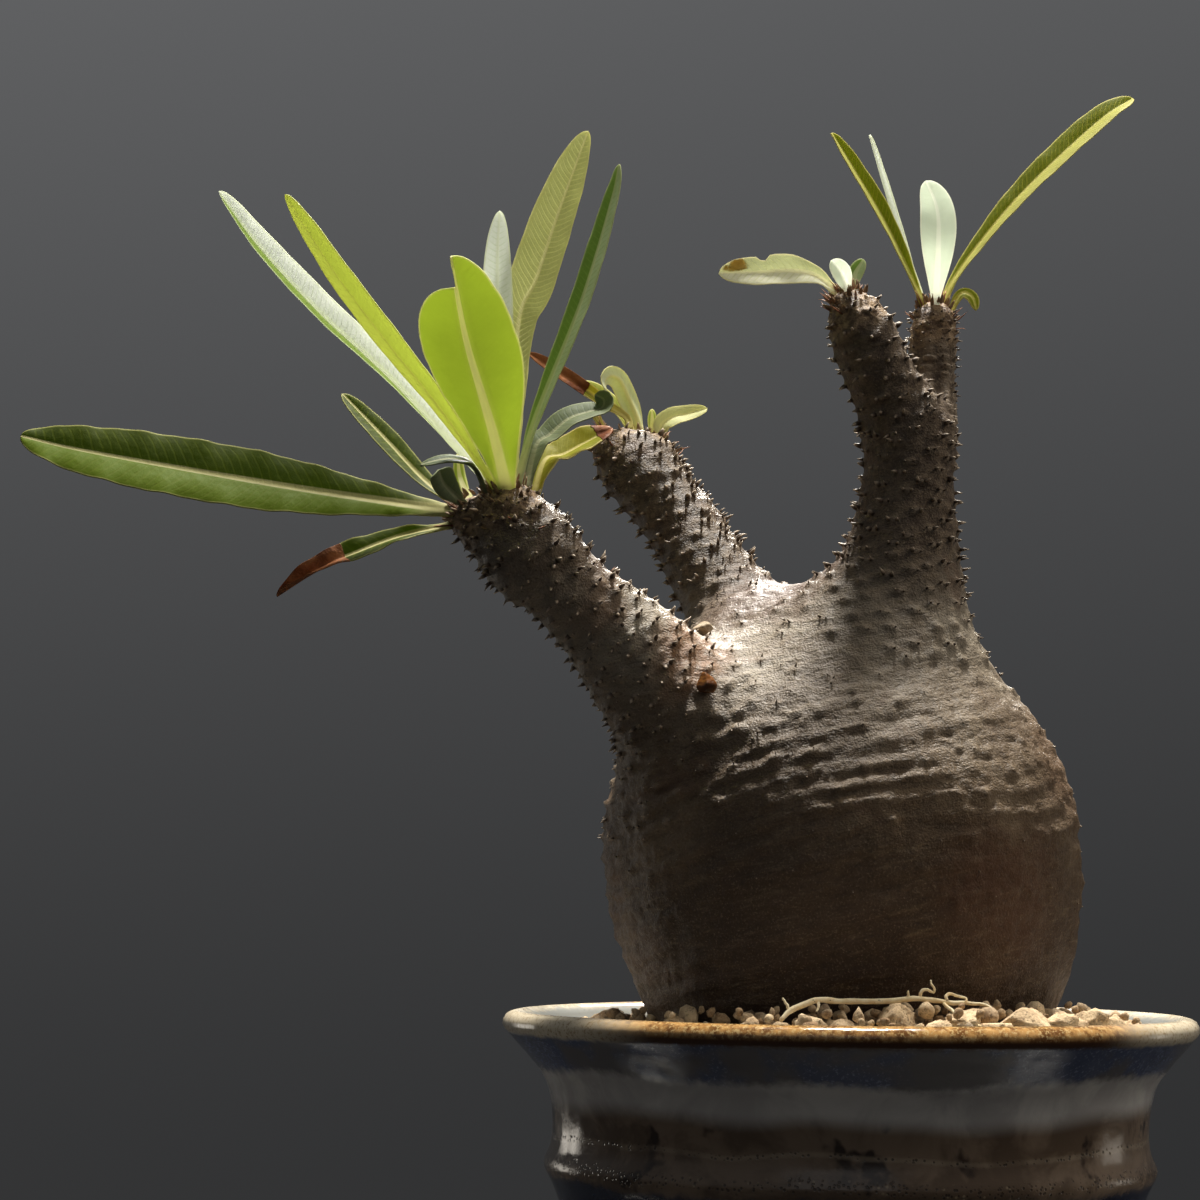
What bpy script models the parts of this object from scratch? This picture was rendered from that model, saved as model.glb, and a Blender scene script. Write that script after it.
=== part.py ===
"""Potted pachypodium: a squat caudex with three spiny limbs and six leafy crowns.

The plant stands in granular soil in a round glazed bowl with a rolled lip. The frame
has +Z up, +Y away from the viewer and its origin at the centre of the bowl's flat base.
Sizes below are in millimetres and are turned into metres where a mesh is made.
"""
import functools
import math
import random

import bmesh
import bpy
import numpy as np
from mathutils import Matrix, Vector
from mathutils.bvhtree import BVHTree

MM = 0.001
GAP = 0.3

# bowl
POT_HEIGHT = 62.2
RIM_RADIUS = 63.3
NECK_RADIUS = 54.2
RIDGE_RADIUS = 55.4
FOOT_RADIUS = 41.0
FLOOR = 6.0
TURN_STEPS = 48
DRAIN_RADIUS = 4.5
DRAIN_CIRCLE = 16.0
DRAIN_TURN = math.radians(93)
NET_SIDE = 46.0
NET_THICK = 1.0

# caudex body: an upright ellipsoid, shorter above its waist than below it, where its
# middle shifts to the right with depth
BODY_CENTRE = (-1.5, -1.0, 91.0)
BODY_WIDE = 43.8
BODY_DEEP = 40.5
BODY_ABOVE = 43.5
BODY_BELOW = 54.5
BODY_LEAN = 0.056
FORK_BLEND = 4.0

# limbs: points with the wood's radius at each, from inside the body to the crown
LIMB_LEFT = ((-18, -10, 98, 16.0), (-27.4, -14, 111.4, 13.3), (-39.5, -17.5, 125.4, 10.2),
             (-44.6, -19, 130.5, 8.6), (-51, -22, 136.5, 7.7), (-58.8, -25, 143.6, 7.7))
FORK_LOW = ((-58.8, -25, 143.6, 7.3), (-65, -24.4, 147, 5.4), (-69.3, -24, 149.6, 4.4))
FORK_FAN = ((-58.8, -25, 143.6, 7.3), (-61.2, -26.6, 148.4, 5.8), (-62.6, -27.5, 151.3, 4.9))
LIMB_REAR = ((-6, 8, 110, 16.0), (-13, 15, 126, 12.0), (-19.2, 20, 136.4, 9.4),
             (-25.5, 25, 147.4, 8.2), (-29.1, 28, 154.1, 7.5), (-34.2, 31, 161.6, 7.2),
             (-38.4, 33, 167, 6.6))
FORK_REAR_LEFT = ((-38.4, 33, 167, 6.4), (-41.8, 33, 169.8, 5.2), (-44.2, 33, 171.8, 4.3))
FORK_REAR_RIGHT = ((-38.4, 33, 167, 6.4), (-37.4, 34.3, 168.9, 5.2), (-36.8, 35, 170.2, 4.3))
SADDLE = ((-12, 6, 122, 17.3), (0, -2, 123, 17.6))
LIMB_RIGHT = ((1, -6, 104, 21.0), (5, -9, 122, 16.4), (7.2, -9.6, 134, 13.2),
              (9, -9, 144.8, 10.8), (9.6, -9, 152.2, 9.2), (10.1, -9, 160, 8.2),
              (9.8, -9.3, 168.5, 7.6))
FORK_FRONT = ((9.8, -9.3, 168.5, 7.4), (7, -11, 174.2, 6.6), (3.8, -13, 180.1, 6.4),
              (1.2, -15, 186, 6.0), (-0.8, -15.5, 189.6, 4.6))
FORK_BACK = ((10.5, -7.6, 164, 5.8), (13.8, -4, 169.8, 4.9), (15.4, 0, 176.8, 4.5),
             (15.9, 1, 182.9, 4.4), (16.1, 2, 191.5, 4.3))

# each limb with its forks, how softly it grows out of the body, and where its thorns start
LIMBS = ((LIMB_LEFT, (FORK_LOW, FORK_FAN), 9.0, 14),
         (LIMB_REAR, (FORK_REAR_LEFT, FORK_REAR_RIGHT), 12.0, 16),
         (SADDLE, (), 12.0, None),
         (LIMB_RIGHT, (FORK_FRONT, FORK_BACK), 9.0, 22))
FORK_THORNS = 3

# skin of the caudex
VOXEL = 2.6
BARK_TRIANGLES = 3000
SPINE_LENGTH = 2.2
SPINE_RADIUS = 0.55
SPINE_SUNK = 0.8
SPINE_SPACING = 3.3
SPINE_SPREAD = 0.85
LEAF_CLEAR = 1.2
NUB_COUNT = 30
NUB_LENGTH = 1.0

# crowns: the round end that each set of leaves stands on
CROWNS = {
    "low": FORK_LOW[-1],
    "fan": FORK_FAN[-1],
    "rear": FORK_REAR_RIGHT[-1],
    "stub": FORK_REAR_LEFT[-1],
    "mid": FORK_FRONT[-1],
    "right": FORK_BACK[-1],
}

# leaves: crown, direction of the root on it, points on the midrib, half width,
# direction that the upper face looks, fold of each half in degrees
LEAVES = {
    "leaf_low_long": ("low", (-0.80, -0.45, 0.28), ((-97, -29, 153.5), (-117.5, -31, 156.5),
                      (-138.5, -32, 160), (-148.6, -32, 162.3)), 6.5, (0, -0.90, 0.44), 14),
    "leaf_low_dry": ("low", (-0.92, 0.05, -0.3), ((-81.9, -25.6, 146), (-89.3, -28, 142.8),
                     (-95.8, -30, 139.6), (-103, -31, 134.6)), 3.0, (0.1, -0.75, 0.65), 34),
    "leaf_low_short": ("low", (-0.62, 0.42, 0.66), ((-78, -18, 157), (-85.5, -15, 165),
                       (-94, -12, 174)), 2.6, (0.25, -0.8, 0.5), 24),
    "leaf_low_husk": ("low", (-0.35, -0.72, 0.60), ((-74, -29.9, 154.8), (-75, -31.3, 157.2)),
                      2.6, (0.1, -1, 0.2), 20),
    "leaf_low_strip": ("low", (-0.10, 0.45, 0.89), ((-71.7, -19.2, 157.6), (-72.3, -18.2, 162.2)),
                       1.1, (0, -1, 0), 10),
    "leaf_fan_curl": ("fan", (-0.86, -0.25, 0.44), ((-68.6, -32.6, 157.6), (-71.8, -34.5, 158.5),
                      (-74.6, -36, 158.1), (-77.8, -37, 157.1)), 1.7, (0.2, -0.5, 0.85), 16),
    "leaf_fan_silver": ("fan", (-0.62, 0.15, 0.77), ((-83.3, -25.5, 174.1), (-96.8, -22, 186.9),
                        (-108.7, -18, 199.9), (-117, -15, 211)), 3.4, (0.3, 0.85, 0.35), 30),
    "leaf_fan_bright": ("fan", (-0.50, -0.52, 0.70), ((-74.3, -38, 167), (-83.2, -44, 177.3),
                        (-92, -49, 188.3), (-100.6, -53, 201)), 2.9, (0.5, 0.8, 0.3), 20),
    "leaf_fan_near": ("fan", (-0.05, -0.75, 0.66), ((-65, -38, 162.5), (-67.4, -50, 169.8),
                      (-69.3, -60, 176), (-71.2, -73, 185.9)), 8.8, (0, 0.45, 0.9), 20),
    "leaf_fan_back": ("fan", (-0.32, 0.50, 0.80), ((-65, -23.2, 175.3), (-65.5, -21.5, 196.4),
                      (-65.3, -19.5, 206.7)), 2.9, (0, 1, 0.1), 12),
    "leaf_fan_tall": ("fan", (0.1, 0.66, 0.74), ((-62, -14.5, 186), (-58.8, -10, 196.5),
                      (-55, -5, 210), (-49.6, 1, 227.4)), 5.2, (-0.49, 0.86, 0.14), 28),
    "leaf_fan_narrow": ("fan", (0.35, -0.35, 0.87), ((-58, -28, 167), (-50, -26, 189),
                        (-44.9, -23, 208), (-43.6, -22, 215)), 2.6, (-0.55, -0.8, 0.1), 26),
    "leaf_fan_coil": ("fan", (0.72, 0.18, 0.67), ((-57.9, -24, 162.8), (-55.7, -23, 164.8),
                      (-52.3, -22, 168), (-48.8, -21, 169.5), (-46.3, -20.5, 170.3),
                      (-45.9, -20.2, 172), (-47.6, -20, 173)), 2.9, (-0.52, -0.5, 0.69), 20),
    "leaf_fan_yellow": ("fan", (0.78, 0.55, 0.30), ((-56.5, -20.5, 160.6), (-53.4, -18.5, 162),
                        (-49.5, -17, 164.4), (-44.3, -16.5, 167.4)), 4.1, (-0.3, -0.81, 0.5), 36),
    "leaf_rear_brown": ("rear", (-0.60, -0.40, 0.69), ((-41.3, 33, 177.9), (-44.9, 31.5, 179.9),
                        (-48.5, 30.5, 182.2), (-54.1, 29.5, 185.8), (-61.1, 28, 189.9)),
                        1.8, (0.3, -0.8, 0.5), 30),
    "leaf_rear_hook": ("rear", (-0.34, 0.02, 0.94), ((-39.9, 34, 179.5), (-41.7, 33.6, 182.4),
                       (-42.9, 32, 184.9), (-44.3, 29.6, 185.4), (-45.2, 28, 182.6)),
                       2.5, (0.35, -0.8, 0.4), 14),
    "leaf_rear_fold": ("rear", (-0.50, 0.60, 0.62), ((-42.3, 37.5, 179.3), (-45.5, 38, 182.6),
                       (-48.4, 37.5, 184.6), (-51.6, 37, 185.6)), 1.9, (0.3, -0.8, 0.5), 26),
    "leaf_rear_bud": ("rear", (0.14, 0.12, 0.98), ((-36.2, 35.7, 177), (-36.3, 35.8, 180.2)),
                      0.95, (0, -1, 0), 6),
    "leaf_rear_yellow": ("rear", (0.62, -0.1, 0.78), ((-34.2, 35.2, 176.7), (-32.2, 35.6, 178.4),
                         (-29.6, 36.4, 179.2), (-25.2, 37.2, 180.6)), 2.2, (-0.2, -0.85, 0.5), 30),
    "leaf_stub": ("stub", (-0.45, -0.35, 0.82), ((-47.6, 30.6, 178), (-49, 30, 180.4)),
                  1.0, (0.3, -0.9, 0.2), 20),
    "leaf_mid_long": ("mid", (-0.62, -0.25, 0.74), ((-7.8, -19, 195.4), (-12.5, -21, 195.8),
                      (-18.2, -22, 195.3), (-25.5, -23, 194.8)), 3.2, (0, -0.8, 0.6), 34),
    "leaf_mid_pale": ("mid", (-0.18, -0.55, 0.82), ((-3.2, -19.6, 196), (-5.4, -20.6, 198.6)),
                      1.5, (0.3, -0.95, 0.2), 18),
    "leaf_mid_green": ("mid", (0.05, 0.35, 0.93), ((-1, -13, 197), (0.2, -12, 200.8)),
                       1.3, (0.2, -0.95, 0.1), 14),
    "leaf_right_long": ("right", (0.48, 0.2, 0.85), ((21.6, 4, 202.2), (33, 6, 216.8),
                        (48.4, 8, 232), (55.6, 9, 237.2)), 2.5, (-0.5, -0.75, 0.35), 32),
    "leaf_right_slim": ("right", (-0.52, -0.25, 0.82), ((10.4, 0, 202.5), (6, -1, 211),
                        (1.3, -2, 218.7), (-3.6, -3, 226.5)), 2.4, (0.6, -0.7, 0.35), 36),
    "leaf_right_edge": ("right", (-0.38, 0.50, 0.78), ((11.4, 8, 207), (8.3, 11.5, 219),
                        (5.2, 13, 230.6)), 1.7, (0.75, 0.4, 0.35), 26),
    "leaf_right_white": ("right", (0.05, -0.52, 0.85), ((16.6, -2, 205), (16.2, -1, 218)),
                         3.5, (0, 0.98, 0.1), 12),
    "leaf_right_curl": ("right", (0.86, 0.1, 0.50), ((21.4, 2.4, 197), (23.4, 2, 196.4),
                        (24.2, 1.6, 193.8)), 1.3, (-0.1, -0.6, 0.8), 14),
}
LEAF_BASE_SHARE = 0.17
LEAF_WIDEST = 0.59
WIDEST_AT = {"leaf_low_long": 0.53, "leaf_low_husk": 0.8, "leaf_right_long": 0.76}
LEAF_EDGE = 0.64
LEAF_RIB = 0.9
LEAF_STEM = 1.15
LEAF_STEP = 6.2
LEAF_SEAT = 0.9

# soil
SOIL_LEVEL = 58.4
SOIL_HEAP = 3.0
SOIL_HEAP_AT = math.radians(-62)
SOIL_HEAP_REACH = math.radians(62)
SOIL_FALL = 1.8
SOIL_EDGE = 54.4
SOIL_WALL_RINGS = (28, 48)
SOIL_SHOULDER = 0.35
SOIL_RINGS = 3
HOLE_RINGS = 5
HOLE_GAP = 0.5
GRAIN_COUNT = 84
GRAIN_SMALL = 1.5
GRAIN_LARGE = 2.9
# large clods by hand: x, y, radius
CLODS = ((23, -45, 3.4), (33, -40, 3.8), (29, -47, 2.8), (41, -33, 3.3), (12, -50, 2.9),
         (2, -52, 2.6), (-8, -50, 2.5), (37, -44, 2.6), (-44, 1, 3.2), (-44.5, 8, 2.6),
         (-43.5, -7, 2.4), (46, -22, 3.0), (48, -8, 2.5))

# dead root lying on the soil, with its side roots: points, thickness from end to end
ROOT_MAIN = ((-15.5, -47.5, 60.5), (-12, -46.4, 63), (-7, -45.4, 64.6), (0, -44.8, 64.7),
             (8, -44.2, 65), (13, -44, 65.2), (17.5, -44.6, 64.6), (21, -45.4, 63.6))
ROOT_SIDES = (((-14.6, -47.2, 61.2), (-15.2, -46.6, 63.4), (-16, -46.2, 65)),
              ((-6.6, -45.4, 64.4), (-7.4, -46.6, 62.6), (-7.2, -47.4, 61.4)),
              ((6.4, -44.4, 65), (8.2, -43.8, 67), (10, -43.8, 68.8), (9.6, -44.2, 70)),
              ((14.2, -44, 65), (16, -42.8, 66.6), (18.2, -42.6, 66.4), (19, -43.6, 65)),
              ((12.6, -44, 65), (15.4, -46.8, 63.4), (19.4, -49, 61.8)))
ROOT_THICK = 1.7
ROOT_FINE = 1.1

# small things lying on the bark
BEAD_AT = (-27.5, -33.0, 121.9)
BEAD_RADIUS = 2.1
CRUMB_AT = (-27.3, -13.0, 131.0)
CRUMB_RADIUS = 2.3


def clear_scene():
    for obj in list(bpy.data.objects):
        bpy.data.objects.remove(obj)


def make_material(name, colour, roughness):
    """Plain shader for one kind of surface."""
    material = bpy.data.materials.get(name)
    if material is None:
        material = bpy.data.materials.new(name)
        material.use_nodes = True
        shader = material.node_tree.nodes["Principled BSDF"]
        shader.inputs["Base Color"].default_value = (*colour, 1)
        shader.inputs["Roughness"].default_value = roughness
    return material


def add_mesh(name, points, faces, material):
    """Object from points in millimetres, with its faces turned outwards."""
    mesh = bpy.data.meshes.new(name)
    mesh.from_pydata([Vector(p) * MM for p in points], [], faces)
    shape = bmesh.new()
    shape.from_mesh(mesh)
    bmesh.ops.recalc_face_normals(shape, faces=shape.faces)
    shape.to_mesh(mesh)
    shape.free()
    mesh.materials.append(material)
    obj = bpy.data.objects.new(name, mesh)
    bpy.context.collection.objects.link(obj)
    return obj


def apply_modifiers(obj):
    """Replace the object's mesh by its evaluated one."""
    depsgraph = bpy.context.evaluated_depsgraph_get()
    mesh = bpy.data.meshes.new_from_object(obj.evaluated_get(depsgraph))
    obj.modifiers.clear()
    obj.data = mesh


def keep_outer_body(obj):
    """Fill the small hollows that a union seals, by deleting all but the largest skin."""
    shape = bmesh.new()
    shape.from_mesh(obj.data)
    left = set(shape.faces)
    skins = []
    while left:
        skin = {left.pop()}
        front = list(skin)
        while front:
            face = front.pop()
            for edge in face.edges:
                for other in edge.link_faces:
                    if other in left:
                        left.discard(other)
                        skin.add(other)
                        front.append(other)
        skins.append(skin)
    skins.sort(key=len)
    for skin in skins[:-1]:
        bmesh.ops.delete(shape, geom=list(skin), context="FACES")
    shape.to_mesh(obj.data)
    shape.free()


def fuse(obj, parts):
    """One union of the object with a collection of its repeats, which are then removed."""
    group = bpy.data.collections.new("repeats")
    bpy.context.scene.collection.children.link(group)
    for part in parts:
        bpy.context.collection.objects.unlink(part)
        group.objects.link(part)
    union = obj.modifiers.new("fuse", "BOOLEAN")
    union.operation = "UNION"
    union.operand_type = "COLLECTION"
    union.collection = group
    union.solver = "MANIFOLD"
    apply_modifiers(obj)
    keep_outer_body(obj)
    for part in parts:
        bpy.data.objects.remove(part)
    bpy.data.collections.remove(group)


def spline(points, count):
    """Catmull-Rom curve through the points, sampled at equal lengths."""
    points = [np.array(p, float) for p in points]
    knots = [2 * points[0] - points[1]] + points + [2 * points[-1] - points[-2]]
    dense = []
    for i in range(1, len(knots) - 2):
        a, b, c, d = knots[i - 1:i + 3]
        for t in np.linspace(0, 1, 16, endpoint=False):
            dense.append(0.5 * (2 * b + (c - a) * t + (2 * a - 5 * b + 4 * c - d) * t ** 2
                                + (3 * b - a - 3 * c + d) * t ** 3))
    dense.append(points[-1])
    dense = np.array(dense)
    steps = np.linalg.norm(np.diff(dense[:, :3], axis=0), axis=1)
    run = np.concatenate([[0], np.cumsum(steps)])
    at = np.linspace(0, run[-1], count)
    return np.stack([np.interp(at, run, dense[:, k]) for k in range(dense.shape[1])], axis=1)


def tangents(path):
    """Unit directions along a sampled path."""
    along = np.gradient(path, axis=0)
    return along / np.linalg.norm(along, axis=1)[:, None]


def carried_normals(along, first):
    """A facing direction carried along a path without twist."""
    normals = []
    normal = np.array(first, float)
    for direction in along:
        normal = normal - direction * normal.dot(direction)
        normal = normal / np.linalg.norm(normal)
        normals.append(normal)
    return normals


def tube(name, path, radii, sides, material):
    """Closed round bar along a path, with pointed caps of one flat face each."""
    along = tangents(path)
    normals = carried_normals(along, (0.3, -0.5, 0.8))
    points = []
    for centre, direction, normal, radius in zip(path, along, normals, radii):
        across = np.cross(direction, normal)
        for k in range(sides):
            turn = 2 * math.pi * k / sides
            points.append(centre + radius * (math.cos(turn) * normal + math.sin(turn) * across))
    rings = len(path)
    faces = [(i * sides + k, i * sides + (k + 1) % sides,
              (i + 1) * sides + (k + 1) % sides, (i + 1) * sides + k)
             for i in range(rings - 1) for k in range(sides)]
    faces.append(tuple(range(sides)))
    faces.append(tuple(range((rings - 1) * sides, rings * sides)))
    return add_mesh(name, points, faces, material)


def turned_faces(rings, steps):
    """Faces of a turned skin whose first and last rings are single points."""
    faces = []
    for k in range(steps):
        nxt = (k + 1) % steps
        faces.append((0, 1 + k, 1 + nxt))
        for i in range(rings - 1):
            base = 1 + i * steps
            faces.append((base + k, base + steps + k, base + steps + nxt, base + nxt))
        base = 1 + (rings - 1) * steps
        faces.append((base + k, 1 + rings * steps, base + nxt))
    return faces


def ring_points(radius, height, steps):
    return [(radius * math.cos(2 * math.pi * k / steps),
             radius * math.sin(2 * math.pi * k / steps), height) for k in range(steps)]


def pot_outside():
    """Outer profile, from the foot's edge up to the top of the lip."""
    return [(FOOT_RADIUS - 1.2, 0), (FOOT_RADIUS, 1.2), (47.8, 16), (53.8, 31),
            (RIDGE_RADIUS, 35.2), (RIDGE_RADIUS - 1.0, 37.6), (NECK_RADIUS, 44.5),
            (55.6, 50.2), (58.4, 54), (61.4, 57.4), (RIM_RADIUS, 60), (RIM_RADIUS - 0.8, 61.7),
            (RIM_RADIUS - 2.3, POT_HEIGHT)]


def pot_inside():
    """Inner profile, from the top of the lip down to the floor's edge."""
    return [(RIM_RADIUS - 4.2, 61.2), (RIM_RADIUS - 5.6, 59), (54.2, 54.6), (50.6, 48),
            (50, 38), (48.4, 27), (40, 9), (36.6, FLOOR)]


def inner_radius(height):
    """Radius of the bowl's inside at a height."""
    profile = pot_inside()[::-1]
    return float(np.interp(height, [z for _, z in profile], [r for r, _ in profile]))


def make_pot():
    profile = pot_outside() + pot_inside()
    points = [(0, 0, 0)]
    for radius, height in profile:
        points += ring_points(radius, height, TURN_STEPS)
    points.append((0, 0, FLOOR))
    glaze = make_material("glaze", (0.16, 0.13, 0.12), 0.25)
    pot = add_mesh("pot", points, turned_faces(len(profile), TURN_STEPS), glaze)
    drills = []
    for k in range(3):
        turn = 2 * math.pi * k / 3 + DRAIN_TURN
        bpy.ops.mesh.primitive_cylinder_add(
            vertices=16, radius=DRAIN_RADIUS * MM, depth=3 * FLOOR * MM,
            location=(DRAIN_CIRCLE * math.cos(turn) * MM, DRAIN_CIRCLE * math.sin(turn) * MM,
                      FLOOR * MM / 2))
        drills.append(bpy.context.object)
    for drill in drills:
        cut = pot.modifiers.new("drain", "BOOLEAN")
        cut.operation = "DIFFERENCE"
        cut.object = drill
    apply_modifiers(pot)
    for drill in drills:
        bpy.data.objects.remove(drill)
    return pot


def make_drain_net():
    """Square of plastic net over the drain holes, on the bowl's floor."""
    plastic = make_material("net", (0.03, 0.03, 0.03), 0.5)
    bpy.ops.mesh.primitive_cube_add(size=1, location=(0, 0, (FLOOR + GAP + NET_THICK / 2) * MM))
    net = bpy.context.object
    net.name = "drain_net"
    net.scale = (NET_SIDE * MM, NET_SIDE * MM, NET_THICK * MM)
    bpy.ops.object.transform_apply(scale=True)
    net.data.materials.append(plastic)
    return net


def smooth_min(a, b, reach):
    """Smaller of two distances, rounded off where they are within reach of each other."""
    share = np.clip(0.5 + 0.5 * (b - a) / reach, 0, 1)
    return b + (a - b) * share - reach * share * (1 - share)


def body_distance(points):
    """About the distance from points to the caudex body."""
    rel = points - np.array(BODY_CENTRE)
    rel[:, 0] += BODY_LEAN * np.minimum(rel[:, 2], 0)
    upright = np.where(rel[:, 2] > 0, BODY_ABOVE, BODY_BELOW)
    radii = np.stack([np.full(len(rel), BODY_WIDE), np.full(len(rel), BODY_DEEP), upright], axis=1)
    scaled = np.linalg.norm(rel / radii, axis=1)
    slope = np.linalg.norm(rel / radii ** 2, axis=1) + 1e-9
    return scaled * (scaled - 1) / slope


@functools.lru_cache(maxsize=None)
def limb_path(limb):
    return spline(limb, 5 * len(limb))


def limb_distance(points, limb):
    """Distance from points to a bar of changing radius along a limb's curve."""
    path = limb_path(limb)
    start, edge = path[:-1, :3], np.diff(path[:, :3], axis=0)
    rel = points[:, None] - start
    share = np.clip((rel * edge).sum(axis=2) / (edge * edge).sum(axis=1), 0, 1)
    away = np.linalg.norm(rel - share[:, :, None] * edge, axis=2)
    return (away - path[:-1, 3] - share * np.diff(path[:, 3])).min(axis=1)


def wood_distance(points):
    """Distance from points to the whole caudex, with limbs blended into the body."""
    whole = body_distance(points)
    for limb, forks, blend, _ in LIMBS:
        bar = limb_distance(points, limb)
        for fork in forks:
            bar = smooth_min(bar, limb_distance(points, fork), FORK_BLEND)
        whole = smooth_min(whole, bar, blend)
    return whole


def wood_normals(points):
    """Outward directions of the caudex at points."""
    step = 0.2
    slope = np.zeros_like(points)
    for k in range(3):
        shift = np.zeros(3)
        shift[k] = step
        slope[:, k] = wood_distance(points + shift) - wood_distance(points - shift)
    return slope / (np.linalg.norm(slope, axis=1)[:, None] + 1e-9)


def settle_on_wood(mesh, rounds):
    """Move a mesh's points onto the caudex surface."""
    points = np.array([v.co for v in mesh.vertices]) / MM
    for _ in range(rounds):
        points -= wood_normals(points) * wood_distance(points)[:, None]
    for vertex, point in zip(mesh.vertices, points):
        vertex.co = Vector(point) * MM


def add_ball(name, centre, radius, detail, material):
    bpy.ops.mesh.primitive_ico_sphere_add(subdivisions=detail, radius=radius * MM,
                                          location=Vector(centre) * MM)
    ball = bpy.context.object
    ball.name = name
    ball.data.materials.append(material)
    return ball


def make_wood_skin():
    """Caudex without spines: overlapping balls, remeshed and drawn onto the surface."""
    bark = make_material("bark", (0.20, 0.15, 0.12), 0.75)
    body = add_ball("caudex", BODY_CENTRE, 1, 4, bark)
    body.scale = (BODY_WIDE, BODY_DEEP, BODY_BELOW)
    balls = [body]
    for limb, forks, _, _ in LIMBS:
        for path in (limb, *forks):
            for x, y, z, radius in spline(path, 4 * len(path)):
                balls.append(add_ball("ball", (x, y, z), radius, 3, bark))
    bpy.ops.object.select_all(action="DESELECT")
    for ball in balls:
        ball.select_set(True)
    bpy.context.view_layer.objects.active = body
    bpy.ops.object.transform_apply(location=True, scale=True)
    bpy.ops.object.join()
    skin = body.modifiers.new("skin", "REMESH")
    skin.mode = "VOXEL"
    skin.voxel_size = VOXEL * MM
    apply_modifiers(body)
    settle_on_wood(body.data, 5)
    thin = body.modifiers.new("thin", "DECIMATE")
    thin.ratio = BARK_TRIANGLES / (2 * len(body.data.polygons))
    apply_modifiers(body)
    settle_on_wood(body.data, 2)
    return body


def spine(root, direction, length):
    """Three-sided thorn, its root sunk in the bark."""
    bark = make_material("bark", (0.20, 0.15, 0.12), 0.75)
    axis = Vector(direction)
    side = axis.orthogonal().normalized()
    foot = Vector(root) - axis * SPINE_SUNK
    corners = [foot + Matrix.Rotation(math.tau * k / 3, 3, axis) @ side * SPINE_RADIUS
               for k in range(3)]
    tip = Vector(root) + axis * length
    return add_mesh("thorn", corners + [tip], [(0, 1, 2), (0, 1, 3), (1, 2, 3), (2, 0, 3)], bark)


def surface_from(centre, direction, radius):
    """Point of the bark on a ray out of a limb's middle, or None inside a thicker part."""
    reach = np.linspace(0.2 * radius, 2.4 * radius, 40)
    ray = centre + reach[:, None] * direction
    outside = np.nonzero(wood_distance(ray) > 0)[0]
    if len(outside) == 0:
        return None
    low = reach[max(outside[0] - 1, 0)]
    high = reach[outside[0]]
    for _ in range(8):
        middle = (low + high) / 2
        if wood_distance((centre + middle * direction)[None])[0] > 0:
            high = middle
        else:
            low = middle
    return centre + high * direction


def keep_clear(point, blades, margin):
    """Whether a point is clear of every leaf and of the small things on the bark."""
    for path, widths in blades:
        if np.min(np.linalg.norm(path - point, axis=1) - widths) < margin:
            return False
    for x, y, z, radius in ((*BEAD_AT, BEAD_RADIUS), (*CRUMB_AT, CRUMB_RADIUS)):
        if np.linalg.norm(point - np.array((x, y, z))) < radius + margin:
            return False
    return True


def limb_spines(limb, skip, blades, draw):
    """Thorns in pairs at the leaf scars that wind up a limb."""
    path = spline(limb, 200)
    along = tangents(path[:, :3])
    step = np.linalg.norm(path[1, :3] - path[0, :3])
    thorns = []
    scar = 0
    run = skip
    while run < step * 199 - 1.0:
        index = int(run / step)
        centre, radius = path[index, :3], path[index, 3]
        up = along[index]
        side = np.cross(up, (0.3, 0.9, 0.2))
        side = side / np.linalg.norm(side)
        turn = math.radians(137.5) * scar + draw.uniform(-0.15, 0.15)
        outward = math.cos(turn) * side + math.sin(turn) * np.cross(up, side)
        around = np.cross(up, outward)
        for way in (-1, 1):
            aim = outward + way * SPINE_SPREAD / radius * around
            root = surface_from(centre, aim / np.linalg.norm(aim), radius)
            if root is None:
                continue
            normal = wood_normals(root[None])[0]
            lean = normal + 0.3 * way * around + 0.25 * up + np.array(
                [draw.uniform(-0.2, 0.2) for _ in range(3)])
            lean = lean / np.linalg.norm(lean)
            length = SPINE_LENGTH * draw.uniform(0.75, 1.2)
            if keep_clear(root + lean * length, blades, LEAF_CLEAR):
                thorns.append(spine(root, lean, length))
        scar += 1
        run += SPINE_SPACING * 4.5 / (radius + 2)
    return thorns


def body_nubs(draw):
    """Worn thorn stubs scattered over the body's upper half."""
    nubs = []
    while len(nubs) < NUB_COUNT:
        turn = draw.uniform(0, 2 * math.pi)
        rise = draw.uniform(0.05, 0.95)
        flat = math.sqrt(1 - rise * rise)
        aim = np.array((flat * math.cos(turn), flat * math.sin(turn), rise))
        centre = np.array(BODY_CENTRE)
        root = surface_from(centre, aim, 24)
        if root is None or not keep_clear(root, (), 2):
            continue
        nubs.append(spine(root, wood_normals(root[None])[0], NUB_LENGTH))
    return nubs


def leaf_path(crown, root, points, length_step, lift=LEAF_SEAT):
    """Midrib from the seat on the crown's round end, with samples along it."""
    x, y, z, radius = CROWNS[crown]
    outward = np.array(root) / np.linalg.norm(root)
    seat = surface_from(np.array((x, y, z)), outward, radius) + outward * lift
    through = [seat] + [np.array(p, float) for p in points]
    length = sum(np.linalg.norm(b - a) for a, b in zip(through[:-1], through[1:]))
    return spline(through, max(6, round(length / length_step)) + 1)


def leaf_share(t, widest):
    """Half width along a leaf as a share of the widest."""
    if t < widest:
        rise = math.sin(math.pi / 2 * (t / widest) ** 1.15)
        return LEAF_BASE_SHARE + (1 - LEAF_BASE_SHARE) * rise
    fall = (t - widest) / (1 - widest)
    return math.sqrt(max(1 - fall ** 2.2, 0.012))


def leaf_width(t, half_width, widest):
    return max(half_width * leaf_share(t, widest), 0.8 * (1 - t) + 0.3)


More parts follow.
